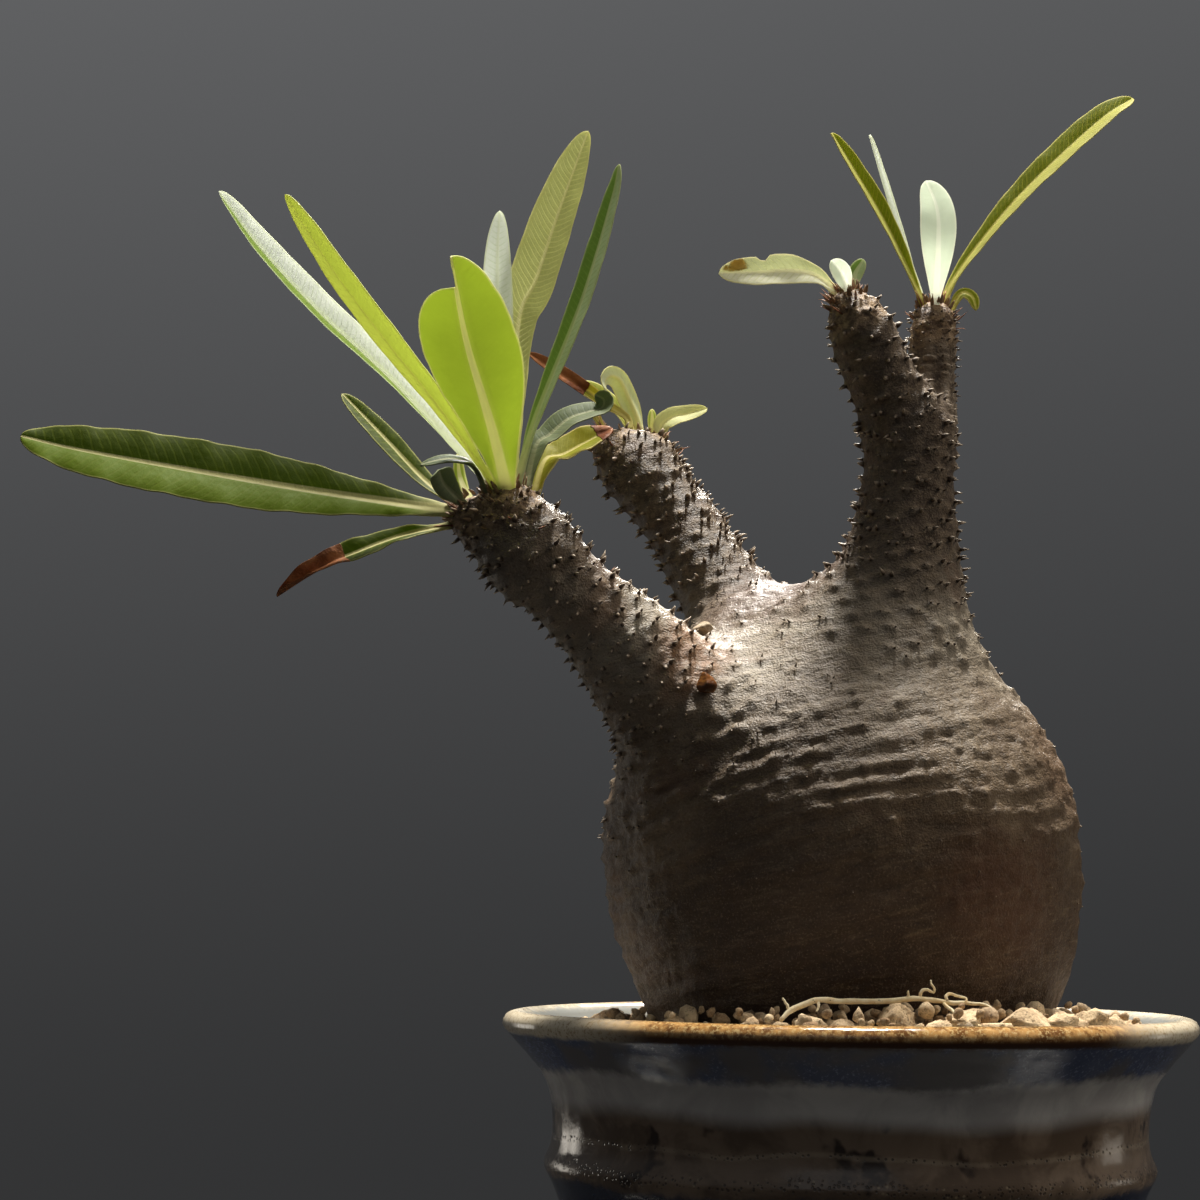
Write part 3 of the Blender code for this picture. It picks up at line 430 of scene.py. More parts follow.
LIMB_REAR = ((-6, 8, 110, 16.0), (-13, 15, 126, 12.0), (-19.2, 20, 136.4, 9.4),
             (-25.5, 25, 147.4, 8.2), (-29.1, 28, 154.1, 7.5), (-34.2, 31, 161.6, 7.2),
             (-38.4, 33, 167, 6.6))
FORK_REAR_LEFT = ((-38.4, 33, 167, 6.4), (-41.8, 33, 169.8, 5.2), (-44.2, 33, 171.8, 4.3))
FORK_REAR_RIGHT = ((-38.4, 33, 167, 6.4), (-37.4, 34.3, 168.9, 5.2), (-36.8, 35, 170.2, 4.3))
SADDLE = ((-12, 6, 122, 17.3), (0, -2, 123, 17.6))
LIMB_RIGHT = ((1, -6, 104, 21.0), (5, -9, 122, 16.4), (7.2, -9.6, 134, 13.2),
              (9, -9, 144.8, 10.8), (9.6, -9, 152.2, 9.2), (10.1, -9, 160, 8.2),
              (9.8, -9.3, 168.5, 7.6))
FORK_FRONT = ((9.8, -9.3, 168.5, 7.4), (7, -11, 174.2, 6.6), (3.8, -13, 180.1, 6.4),
              (1.2, -15, 186, 6.0), (-0.8, -15.5, 189.6, 4.6))
FORK_BACK = ((10.5, -7.6, 164, 5.8), (13.8, -4, 169.8, 4.9), (15.4, 0, 176.8, 4.5),
             (15.9, 1, 182.9, 4.4), (16.1, 2, 191.5, 4.3))
# each limb with its forks, how softly it grows out of the body, and where its thorns start
LIMBS = ((LIMB_LEFT, (FORK_LOW, FORK_FAN), 9.0, 10),
         (LIMB_REAR, (FORK_REAR_LEFT, FORK_REAR_RIGHT), 12.0, 28),
         (SADDLE, (), 12.0, None),
         (LIMB_RIGHT, (FORK_FRONT, FORK_BACK), 9.0, 24))
CROWN_FORKS = (FORK_LOW, FORK_FAN, FORK_REAR_LEFT, FORK_REAR_RIGHT, FORK_FRONT, FORK_BACK)
BARK_VOXEL = 2.9
SCAR_STEP = 2.15
SCAR_HEIGHT = 0.7
SCAR_WIDE = 1.2
SCAR_TALL = 0.68
SCAR_TURN = 137.5
SCAR_REACH = 3.0
OLD_SCAR_TRIES = 2400
OLD_SCAR_TOP = 127
OLD_SCARS_APART = 5.4
OLD_SCAR_RADIUS = 0.85
LIMB_POINTS = 240
# the back fork's scars stand close above each other, in eight columns
COLUMN_TURN = 135
COLUMN_STEP = 0.215
FOLD_PITCH = 4.4
FOLD_DEPTH = 0.5


def smooth_min(a, b, reach):
    """Smaller of two distances, rounded off where they are within reach of each other."""
    share = np.clip(0.5 + 0.5 * (b - a) / reach, 0, 1)
    return b + (a - b) * share - reach * share * (1 - share)


def body_distance(points):
    """About the distance from points to the trunk's body."""
    rel = points - np.array(BODY_CENTRE)
    rel[:, 0] += BODY_LEAN * np.minimum(rel[:, 2], 0)
    tall = np.where(rel[:, 2] > 0, BODY_ABOVE, BODY_BELOW)
    radii = np.stack([np.full(len(rel), BODY_WIDE), np.full(len(rel), BODY_DEEP), tall], axis=1)
    scaled = np.linalg.norm(rel / radii, axis=1)
    slope = np.linalg.norm(rel / radii ** 2, axis=1) + 1e-9
    return scaled * (scaled - 1) / slope


limb_paths = {}


def limb_distance(points, limb):
    """Distance from points to a bar of changing radius along a limb's curve."""
    if limb not in limb_paths:
        limb_paths[limb] = spline(limb, 5 * len(limb))
    path = limb_paths[limb]
    start, edge = path[:-1, :3], np.diff(path[:, :3], axis=0)
    rel = points[:, None] - start
    share = np.clip((rel * edge).sum(axis=2) / (edge * edge).sum(axis=1), 0, 1)
    away = np.linalg.norm(rel - share[:, :, None] * edge, axis=2)
    return (away - path[:-1, 3] - share * np.diff(path[:, 3])).min(axis=1)


def wood_distance(points):
    """Distance from points to the whole trunk, with limbs blended into the body."""
    whole = body_distance(points)
    for limb, forks, blend, _ in LIMBS:
        bar = limb_distance(points, limb)
        for fork in forks:
            bar = smooth_min(bar, limb_distance(points, fork), FORK_BLEND)
        whole = smooth_min(whole, bar, blend)
    return whole


def wood_normals(points):
    """Outward directions of the trunk at points."""
    slope = np.zeros_like(points)
    for k in range(3):
        shift = np.zeros(3)
        shift[k] = 0.2
        slope[:, k] = wood_distance(points + shift) - wood_distance(points - shift)
    return slope / (np.linalg.norm(slope, axis=1)[:, None] + 1e-9)


def bark_points(centres, aims, radii):
    """Points where rays out of the limbs' middles leave the bark."""
    low, high = 0.2 * radii, 2.4 * radii
    reach = low + (high - low) * np.linspace(0, 1, 40)[:, None]
    found = np.full(len(centres), -1)
    for i, steps in enumerate(reach):
        outside = wood_distance(centres + steps[:, None] * aims) > 0
        found[(found < 0) & outside] = i
    good = found > 0
    rows = np.arange(len(centres))
    low, high = reach[np.maximum(found - 1, 0), rows], reach[np.maximum(found, 0), rows]
    for _ in range(8):
        middle = (low + high) / 2
        outside = wood_distance(centres + middle[:, None] * aims) > 0
        low, high = np.where(outside, low, middle), np.where(outside, middle, high)
    return centres + high[:, None] * aims, good


def unit(vectors):
    """One vector or rows of them, each made one long."""
    return vectors / np.linalg.norm(vectors, axis=-1, keepdims=True)


def directions(path):
    return unit(np.gradient(path, axis=0))


def limb_scars(draw):
    """Leaf scars that wind up each limb: root, outward, upward, how grown and how raised."""
    centres, aims, ups, radii, grown, raised = [], [], [], [], [], []
    scar = 0
    for limb, forks, _, skip in LIMBS:
        if skip is None:
            continue
        for path, start in ((limb, skip), *((fork, 2.0) for fork in forks)):
            sampled = spline(path, LIMB_POINTS)
            last = LIMB_POINTS - 1
            along = directions(sampled[:, :3])
            step = np.linalg.norm(sampled[1, :3] - sampled[0, :3])
            run = start
            while run < step * last + 1.5:
                index = min(int(run / step), last)
                radius = sampled[index, 3]
                up = along[index]
                side = unit(np.cross(up, (0.3, 0.9, 0.2)))
                turn = SCAR_TURN if path is not FORK_BACK else COLUMN_TURN
                turn = math.radians(turn) * scar + draw.uniform(-0.12, 0.12)
                centres.append(sampled[index, :3] + up * max(run - step * last, 0))
                aims.append(math.cos(turn) * side + math.sin(turn) * np.cross(up, side))
                ups.append(up)
                radii.append(radius)
                grown.append(0.5 if path is limb and run < start + 12 or path is FORK_BACK
                             else 0.95)
                raised.append(1.7 if path is FORK_BACK else 1.0)
                scar += 1
                run += COLUMN_STEP if path is FORK_BACK else SCAR_STEP ** 2 / (radius * 2)
    centres, aims, ups, radii = map(np.array, (centres, aims, ups, radii))
    roots, good = bark_points(centres, aims, radii)
    return roots[good], aims[good], ups[good], np.array(grown)[good], np.array(raised)[good]


def fold_rise(points):
    """How high in the body's wrinkles: they climb to the right and level out there."""
    rise = points[:, 2] - 0.25 * points[:, 0] + 0.0025 * points[:, 0] ** 2
    return rise, rise / FOLD_PITCH + 1.2 * wave(points, (0.03, 0.03, 0.045), 1)


def body_scars(draw):
    """Old scars on the wrinkles' edges, over the upper half of the body."""
    aims = []
    while len(aims) < OLD_SCAR_TRIES:
        turn = draw.uniform(0, math.tau)
        rise = draw.uniform(-0.22, 0.98)
        flat = math.sqrt(1 - rise * rise)
        aims.append((flat * math.cos(turn), flat * math.sin(turn), rise))
    aims = np.array(aims)
    centres = np.tile(np.array(BODY_CENTRE), (len(aims), 1))
    roots, good = bark_points(centres, aims, np.full(len(aims), 24.0))
    phase = fold_rise(roots)[1]
    part = phase - np.floor(phase)
    kept = []
    for root, fine, share in zip(roots, good, part):
        if fine and root[2] < OLD_SCAR_TOP and 0.18 < share < 0.5:
            if all(np.linalg.norm(root - other) > OLD_SCARS_APART for other in kept):
                kept.append(root)
    return np.array(kept)


def make_trunk_skin():
    """The trunk from overlapping balls, remeshed, drawn onto its surface and refined."""
    shape = bmesh.new()
    wide = Matrix.Diagonal((BODY_WIDE, BODY_DEEP, BODY_BELOW, 1))
    bmesh.ops.create_icosphere(shape, subdivisions=4, radius=MM,
                               matrix=Matrix.Translation(Vector(BODY_CENTRE) * MM) @ wide)
    for limb, forks, _, _ in LIMBS:
        for path in (limb, *forks):
            for x, y, z, radius in spline(path, 4 * len(path)):
                bmesh.ops.create_icosphere(shape, subdivisions=3, radius=radius * MM,
                                           matrix=Matrix.Translation(Vector((x, y, z)) * MM))
    mesh = bpy.data.meshes.new("trunk")
    shape.to_mesh(mesh)
    shape.free()
    trunk = bpy.data.objects.new("trunk", mesh)
    bpy.context.collection.objects.link(trunk)
    skin = trunk.modifiers.new("skin", "REMESH")
    skin.mode = "VOXEL"
    skin.voxel_size = BARK_VOXEL * MM
    settle_modifiers(trunk)
    points = mesh_points(trunk.data)
    for _ in range(5):
        points -= wood_normals(points) * wood_distance(points)[:, None]
    trunk.data.vertices.foreach_set("co", (points * MM).ravel())
    finer = trunk.modifiers.new("finer", "SUBSURF")
    finer.levels = finer.render_levels = 2
    settle_modifiers(trunk)
    return trunk


def mesh_points(mesh):
    """The mesh's points in millimetres."""
    points = np.zeros(len(mesh.vertices) * 3)
    mesh.vertices.foreach_get("co", points)
    return points.reshape(-1, 3) / MM


def mesh_normals(mesh):
    normals = np.zeros(len(mesh.vertices) * 3, np.float32)
    mesh.vertex_normals.foreach_get("vector", normals)
    return normals.reshape(-1, 3).astype(float)


def wave(points, scale, seed):
    """Smooth noise at points that are scaled along each axis."""
    scaled = points * np.array(scale) + seed * 7.3
    return np.array([noise.noise(p) for p in scaled.tolist()])


def cracks(points, scale, seed, sharp):
    """Thin winding lines: 1 along their middles, 0 away from them."""
    return 1 - np.minimum(np.abs(wave(points, scale, seed)) * sharp, 1)


def step_between(values, low, high):
    share = np.clip((values - low) / (high - low), 0, 1)
    return share * share * (3 - 2 * share)


def carve_bark(trunk, scars, scar_ups, scar_rise, old_scars):
    """Moves the skin out at the scars and in along the wrinkles, and notes both."""
    points, normals = mesh_points(trunk.data), mesh_normals(trunk.data)
    tree = KDTree(len(scars) + len(old_scars))
    for i, root in enumerate([*scars, *old_scars]):
        tree.insert(root, i)
    tree.balance()
    bumps = np.zeros(len(points))
    for i, point in enumerate(points):
        total = 0
        for near, index, away in tree.find_range(point, SCAR_REACH):
            if index < len(scars):
                # a leaf scar's cushion is wider than it is tall
                along = (point - np.array(near)).dot(scar_ups[index])
                reach = (away ** 2 - along ** 2) / SCAR_WIDE ** 2 + (along / SCAR_TALL) ** 2
                total = max(total, scar_rise[index] * math.exp(-reach))
            else:
                total = max(total, 0.6 * math.exp(-(away / OLD_SCAR_RADIUS) ** 2))
        bumps[i] = total
    rise, phase = fold_rise(points)
    slanted = np.stack([points[:, 0], points[:, 1], rise], axis=1)
    belt = step_between(rise, 56, 92) * (1 - step_between(rise, 115, 130))
    limbs = 1 - step_between(body_distance(points), 0.8, 4.0)
    # each fold jumps out over a dark crease and falls back slowly above it
    part = phase - np.floor(phase)
    fold = step_between(np.where(part < 0.42, part / 0.42, (1 - part) / 0.58), 0, 1)
    strong = np.clip(0.6 + 1.2 * wave(slanted, (0.05, 0.05, 0.16), 2), 0.1, 1.2)
    creases = cracks(slanted, (0.06, 0.06, 0.55), 3, 6)
    lines = cracks(slanted, (0.16, 0.16, 1.3), 4, 5)
    lumps = wave(points, (0.11, 0.11, 0.13), 5)
    pebbles = wave(points, (0.42, 0.42, 0.42), 6)
    grit = wave(points, (1.1, 1.1, 1.1), 7)
    rings = cracks(points, (0.22, 0.22, 0.8), 8, 4)
    crown = np.zeros(len(points))
    for fork in CROWN_FORKS:
        away = np.linalg.norm(points - np.array(fork[-1][:3]), axis=1)
        crown = np.maximum(crown, 1 - step_between(away, fork[-1][3] + 0.6, fork[-1][3] + 3.4))
    depth = (FOLD_DEPTH * (fold - 0.5) * strong - 0.24 * creases) * belt * limbs
    depth -= 0.15 * lines * (0.6 + 0.4 * belt) * limbs + 0.12 * rings * (1 - limbs)
    depth += 0.5 * lumps + 0.24 * pebbles + 0.11 * grit + SCAR_HEIGHT * bumps
    depth += 0.5 * crown * wave(points, (1.2, 1.2, 1.2), 9)
    moved = points + normals * depth[:, None]
    trunk.data.vertices.foreach_set("co", (moved * MM).ravel())
    trunk.data.update()
    note(trunk, "scar", np.minimum(bumps, 1))
    # how far each point lies in a crease or ring, for the painted shade there
    note(trunk, "hollow", np.clip(-(depth - SCAR_HEIGHT * bumps), 0, 1))
    note(trunk, "limb", 1 - limbs)
    note(trunk, "crown", crown)


def bark_finish():
    """Thin bark: silvery on top and brown lower down, partly as painted light from above, with grainy
    skin and fine lines.
    """
    bark = Finish("bark", 0.6)
    where = bark.place()
    x, y, z = bark.apart(where)
    tilted = bark.node("ShaderNodeCombineXYZ", {0: x, 1: y, 2: bark.times(x, -0.20, z)}).outputs[0]
    tall = bark.node("ShaderNodeMapping", {"Vector": tilted, "Scale": (170, 170, 950)}).outputs[0]
    broad = bark.mottle(where, 42, 4.0, 0.6, 0.4)
    fine = bark.mottle(where, 620, 4.0, 0.65)
    grain = bark.mottle(where, 2600, 2.0, 0.6)
    fibres = bark.mottle(tall, 1.0, 4.0, 0.65, 0.5)
    # lighter towards the top and darker low down: partly the bark's own silvery top and brown base,
    # partly painted light on top and painted shade below
    level = bark.sway(z, broad, 0.030)
    low = bark.fade(broad, 0.4, 0.64, (60, 42, 28), (80, 59, 41))
    middle = bark.fade(broad, 0.38, 0.66, (98, 79, 58), (120, 100, 76))
    top = bark.fade(broad, 0.38, 0.66, (126, 112, 94), (146, 134, 115))
    stem = bark.fade(fine, 0.36, 0.68, (72, 58, 45), (108, 92, 74))
    skin = bark.coats(low, (level, 0.062, 0.106, 1, middle), (level, 0.100, 0.134, 1, top),
                      (z, 0.128, 0.150, bark.named("limb"), stem),
                      (fibres, 0.5, 0.74, 0.34, (146, 126, 98)),
                      (fibres, 0.45, 0.28, 0.5, (54, 38, 25)),
                      (grain, 0.54, 0.72, 0.36, (162, 144, 116)),
                      (grain, 0.46, 0.28, 0.45, (40, 30, 22)),
                      (bark.mottle(where, 38, 3.0, 0.65, 0.8), 0.56, 0.70, 0.35, (100, 68, 47)))
    for spot, near, far, shade, share in PATCHES:
        away = bark.node("ShaderNodeVectorMath", {0: where, 1: [v * MM for v in spot]},
                         operation="DISTANCE").outputs["Value"]
        frayed = bark.times(bark.grade(fine, 0.3, 0.55, 0.45, 1.0), share)
        skin = bark.coats(skin, (bark.sway(away, broad, 0.018), far * MM, near * MM, frayed, shade))
    # dark dots, painted shade in the folds and hollows, pale scars and the husks round the crowns
    skin = bark.coats(skin, (bark.cells(where, 300), 0.14, 0.07, 0.36, (36, 27, 21)),
                      (bark.named("hollow"), 0.05, 0.6, 0.26, (50, 37, 27)),
                      (bark.named("scar"), 0.35, 0.9, 0.5, (150, 133, 112)))
    husk = bark.fade(fine, 0.4, 0.62, (92, 70, 50), (158, 132, 100))
    bark.colour(bark.blend(bark.times(bark.named("crown"), 0.85), skin, husk))
    bark.gloss(bark.grade(fine, 0.3, 0.7, 0.44, 0.64))
    bark.relief((fibres, 0.30), (fine, 0.42), (grain, 0.26))
    return bark.material


# patches on the bark: centre, where they are full and where they end, colour and strength
PATCHES = (((-31, -24, 127), 4, 12, (134, 92, 56), 0.7),
           ((-44, -27, 133), 2, 8, (118, 80, 50), 0.5),
           ((-12, 0, 140), 6, 24, (92, 68, 54), 0.85),
           ((25, -34, 84), 4, 17, (92, 56, 36), 0.5),
           ((38, -10, 108), 4, 16, (112, 84, 58), 0.45))

draw = random.Random(11)
scars, scar_aims, scar_ups, scar_growth, scar_rise = limb_scars(draw)
old_scars = body_scars(draw)
trunk = make_trunk_skin()
carve_bark(trunk, scars, scar_ups, scar_rise, old_scars)
bark_material = bark_finish()
trunk.data.materials.clear()
trunk.data.materials.append(bark_material)
trunk.data.shade_smooth()
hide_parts("caudex")
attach(trunk, "root")

# Thorns
# Short thorns that stay in pairs where leaves have fallen, dark at the foot and pale towards the tip,
# the pale tips being a painted highlight where they catch the light from above. They are part of the
# bark. The youngest, round the crowns, are longer and are made further on.
THORN_LENGTH = 1.3
THORN_RADIUS = 0.45
THORN_APART = 0.72
THORN_LIFT = 0.35
STUB_LENGTH = 0.7
STUB_RADIUS = 0.4


def thorn_pattern(length, radius, bend, material):
    """One bent thorn of five sides, pointing up from the origin."""
    points = []
    for share in (-0.35, 0.25, 0.65):
        up = max(share, 0)
        width = radius * (1 - up) ** 0.8
        points += flat_ring(bend * length * up ** 2, 0, length * share, width, width, 5)
    points.append((bend * length, 0, length))
    faces = [(i * 5 + k, i * 5 + (k + 1) % 5, i * 5 + 5 + (k + 1) % 5, i * 5 + 5 + k)
             for i in range(2) for k in range(5)]
    faces += [(10 + k, 10 + (k + 1) % 5, 15) for k in range(5)] + [(4, 3, 2, 1, 0)]
    thorn = add_mesh("thorn_pattern", points, faces, material)
    note(thorn, "tip", [0] * 5 + [0.25] * 5 + [0.65] * 5 + [1])
    return thorn


def planting_tree(material):
    """Node tree that stands one of the patterns on each point, along its own direction."""
    tree = bpy.data.node_groups.new("planting", "GeometryNodeTree")
    for name, way, kind in (("Points", "INPUT", "Geometry"), ("Patterns", "INPUT", "Collection"),
                            ("Size", "INPUT", "Float"), ("Copies", "OUTPUT", "Geometry")):
        tree.interface.new_socket(name, in_out=way, socket_type="NodeSocket" + kind)
    plan = Nodes(tree)
    given = plan.node("NodeGroupInput").outputs
    shapes = plan.node("GeometryNodeCollectionInfo", {
        "Collection": given["Patterns"], "Separate Children": True, "Reset Children": True})
    aim = plan.node("GeometryNodeInputNamedAttribute", {"Name": "aim"}, data_type="FLOAT_VECTOR")
    size = plan.node("GeometryNodeInputNamedAttribute", {"Name": "size"})
    turn = plan.node("FunctionNodeAlignRotationToVector",
                     {"Vector": aim.outputs["Attribute"]}, axis="Z")
    angle = plan.node("FunctionNodeRandomValue", {"Max": math.tau, "Seed": 5})
    about = plan.node("FunctionNodeAxisAngleToRotation",
                      {"Axis": (0, 0, 1), "Angle": angle.outputs[1]})
    spin = plan.node("FunctionNodeRotateRotation", {
        "Rotation": turn.outputs[0], "Rotate By": about.outputs[0]}, rotation_space="LOCAL")
    pick = plan.node("FunctionNodeRandomValue", {"Max": 40, "Seed": 9}, data_type="INT")
    stand = plan.node("GeometryNodeInstanceOnPoints", {
        "Points": given["Points"], "Instance": shapes.outputs[0], "Pick Instance": True,
        "Instance Index": next(out for out in pick.outputs if out.type == "INT"),
        "Rotation": spin.outputs[0],
        "Scale": plan.times(size.outputs["Attribute"], given["Size"])})
    real = plan.node("GeometryNodeRealizeInstances", {0: stand.outputs[0]})
    coat = plan.node("GeometryNodeSetMaterial", {"Geometry": real.outputs[0],
                                                 "Material": material})
    plan.node("NodeGroupOutput", {"Copies": coat.outputs[0]})
    return tree


def stand_copies(name, roots, aims, sizes, patterns, material, tints=None):
    """Piece made of copies of the patterns, one at each root."""
    piece = add_mesh(name, roots, [], material)
    note(piece, "aim", aims)
    note(piece, "size", sizes)
    if tints is not None:
        note(piece, "tint", tints)
    group = bpy.data.collections.new("patterns")
    bpy.context.scene.collection.children.link(group)
    for pattern in patterns:
        bpy.context.collection.objects.unlink(pattern)
        group.objects.link(pattern)
    tree = planting_tree(material)
    planting = piece.modifiers.new("planting", "NODES")
    planting.node_group = tree
    sockets = {item.name: item.identifier for item in tree.interface.items_tree}
    planting[sockets["Patterns"]] = group
    planting[sockets["Size"]] = 1.0
    settle_modifiers(piece)
    for pattern in patterns:
        bpy.data.objects.remove(pattern)
    bpy.data.collections.remove(group)
    piece.data.shade_smooth()
    return piece


def thorn_spots(roots, aims, ups, growth, draw):
    """A pair of thorns on each scar, leaning apart and upwards."""
    spots, leans, sizes = [], [], []
    for root, aim, up, grown in zip(roots, aims, ups, growth):
        around = np.cross(up, aim)
        for way in (-1, 1):
            spots.append(root + way * THORN_APART * around)
            lean = aim + 0.42 * way * around + draw.uniform(0.05, 0.45) * up
            leans.append(lean + np.array([draw.uniform(-0.22, 0.22) for _ in range(3)]))
            sizes.append(grown * draw.choice((0.5, 0.7, 0.85, 1.0, 1.15)))
    spots, leans = np.array(spots), np.array(leans)
    outward = wood_normals(spots)
    spots -= outward * wood_distance(spots)[:, None]
    return spots + outward * THORN_LIFT, unit(unit(leans) + 0.5 * outward), sizes


def thorn_finish(name, foot, tip):
    thorn = Finish(name, 0.55)
    thorn_mottle = thorn.mottle(thorn.place(), 700, 3.0, 0.6)
    # paler towards the tip; on the limbs' thorns and stubs this paleness is a painted highlight
    pale = thorn.times(thorn_mottle, 0.8, thorn.named("tip"))
    thorn.colour(thorn.fade(pale, 0.45, 1.1, foot, tip))
    thorn.relief((thorn_mottle, 0.05))
    return thorn.material


# the thorns' pale tips are a painted highlight
thorn_material = thorn_finish("thorn", (70, 54, 42), (168, 150, 128))
spots, leans, sizes = thorn_spots(scars, scar_aims, scar_ups, scar_growth, draw)
thorns = stand_copies("thorns", spots, leans, sizes,
                      [thorn_pattern(THORN_LENGTH * long, THORN_RADIUS * wide, bend, thorn_material)
                       for long, wide, bend in ((1, 1, 0.16), (0.8, 1.2, 0.05), (1.2, 0.85, 0.3))],
                      thorn_material)
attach(thorns, "root")

# Worn thorn stubs on the body, left from when it was young.
outward = wood_normals(old_scars)
stubs = stand_copies("thorn_stubs", old_scars + outward * 0.15, outward,
                     [draw.uniform(0.35, 0.7) for _ in old_scars],
                     [thorn_pattern(STUB_LENGTH, STUB_RADIUS, 0.1, thorn_material)], thorn_material)
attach(stubs, "root")

# Soil
# Baked clay granules, filled in dry round the trunk and heaped at the front right, with a few
# large clods on top. Below the surface they are drawn as one rough mass with a plain hole.
SOIL_STEPS = 144
SOIL_LEVEL = 58.4
SOIL_HEAP = 3.0
SOIL_HEAP_AT = math.radians(-62)
SOIL_HEAP_REACH = math.radians(62)
SOIL_FALL = 1.8
SOIL_EDGE = 54.4
SOIL_BOTTOM = 7.6
SOIL_SHOULDER = 0.35
SOIL_RINGS = 14
HOLE_RINGS = 12
HOLE_GAP = 0.5
WALL_GAP = 0.3
WALL_RINGS = 12
GRANULE_TOP = 66.2
GRANULE_PACK = 0.92
# granules by size: how many are let fall, smallest and largest radius
GRANULES = ((300, 1.9, 3.0), (500, 1.3, 1.9), (800, 0.7, 1.2))
# large clods, listed one by one: x, y, radius
CLODS = ((25.5, -46, 4.4), (32, -42.5, 3.3), (37.5, -39, 3.5), (43, -33, 3.1), (4, -46.5, 3.5),
         (-5.5, -48, 2.7), (-11, -49, 2.9), (15, -48.5, 3.1), (10.5, -52, 2.6), (20.5, -50.5, 2.8),
         (-44, 1, 3.2), (-44.5, 8, 2.6), (47, -23, 3.0))


def soil_height(x, y):
    """Level of the soil: heaped at the front right, lower at the bowl's wall."""
    turn = math.atan2(y, x) - SOIL_HEAP_AT
    turn = (turn + math.pi) % math.tau - math.pi
    heap = SOIL_HEAP * math.exp(-(turn / SOIL_HEAP_REACH) ** 2)
    fall = SOIL_FALL * max(0, (math.hypot(x, y) - 44) / 12) ** 2
    return SOIL_LEVEL + heap - fall + 0.5 * math.sin(0.41 * x + 1.3) * math.cos(0.37 * y)


def hole_ring(height):
    """Outline of the hole that the trunk stands in, at a height below its waist."""
    drop = BODY_CENTRE[2] - height
    share = math.sqrt(max(1 - (drop / (BODY_BELOW + HOLE_GAP)) ** 2, 0))
    return flat_ring(BODY_CENTRE[0] + BODY_LEAN * drop, BODY_CENTRE[1], height,
                     (BODY_WIDE + HOLE_GAP) * share, (BODY_DEEP + HOLE_GAP) * share, SOIL_STEPS)


def soil_rings():
    """Rings of the soil: up the bowl's wall, over the top and down the hole."""
    rings = []
    for height in np.linspace(SOIL_BOTTOM, SOIL_EDGE, WALL_RINGS):
        radius = inner_radius(height) - WALL_GAP
        rings.append(flat_ring(0, 0, height, radius, radius, SOIL_STEPS))
    outer = rings[-1]
    mouth = [hole_ring(soil_height(*hole_ring(SOIL_LEVEL)[k][:2]))[k] for k in range(SOIL_STEPS)]
    for i in range(SOIL_RINGS + 1):
        share = (i + SOIL_SHOULDER) / (SOIL_RINGS + SOIL_SHOULDER)
        ring = []
        for (x0, y0, _), (x1, y1, _) in zip(outer, mouth):
            x, y = x0 + (x1 - x0) * share, y0 + (y1 - y0) * share
            rough = 0.7 * noise.noise((x * 0.45, y * 0.45, 3))
            ring.append((x, y, soil_height(x, y) + rough - 0.4))
        rings.append(ring)
    full = BODY_BELOW + HOLE_GAP
    start = math.asin((BODY_CENTRE[2] - SOIL_LEVEL + 2.5) / full)
    for i in range(HOLE_RINGS):
        turn = start + (math.pi / 2 - start) * i / HOLE_RINGS
        rings.append(hole_ring(BODY_CENTRE[2] - full * math.sin(turn)))
    return rings


def clay_finish():
    """Dry fired clay in tans and browns, each granule its own shade, with fine dark pores and pale
    specks on the raised grain that are a painted highlight.
    """
    clay = Finish("clay", 0.9)
    where = clay.place()
    tint = clay.named("tint")
    pores_and_highlights = clay.mottle(where, 1600, 4.0, 0.7)
    broad = clay.mottle(where, 380, 3.0, 0.6)
    clay.colour(clay.coats(clay.blend(tint, (146, 116, 82), (226, 200, 160)),
                           (clay.maths("FRACT", clay.times(tint, 7.3)), 0.7, 0.9, 1,
                            (172, 154, 128)),
                           (broad, 0.42, 0.62, 0.5, (138, 108, 76)),
                           (pores_and_highlights, 0.48, 0.32, 0.75, (66, 47, 31)),
                           # pale specks on the raised spots: a painted highlight
                           (pores_and_highlights, 0.55, 0.75, 0.5, (214, 192, 158))))
    clay.relief((pores_and_highlights, 0.3), (broad, 0.5))
    return clay.material


def lump(name, radius, detail, draw, material, rough=0.24):
    """Rough stone: a ball pushed in and out by noise, with a few faces cut flat."""
    shape = bmesh.new()
    bmesh.ops.create_icosphere(shape, subdivisions=detail, radius=1.0)
    seed = draw.uniform(0, 90)
    cuts = []
    for _ in range(9):
        aim = Vector([draw.uniform(-1, 1) for _ in range(3)]).normalized()
        cuts.append((aim, draw.uniform(0.54, 0.82)))
    points, faces = [], [[v.index for v in face.verts] for face in shape.faces]
    for vertex in shape.verts:
        aim = vertex.co.normalized()
        reach = 1 + rough * noise.noise(aim * 1.7 + Vector((seed, 0, 0)))
        reach += 0.6 * rough * noise.noise(aim * 4.5 + Vector((0, seed, 0)))
        for flat, level in cuts:
            lean = aim.dot(flat)
            if lean > 0:
                reach = min(reach, level / lean)
        points.append(aim * reach * radius)
    shape.free()
    return add_mesh(name, points, faces, material)


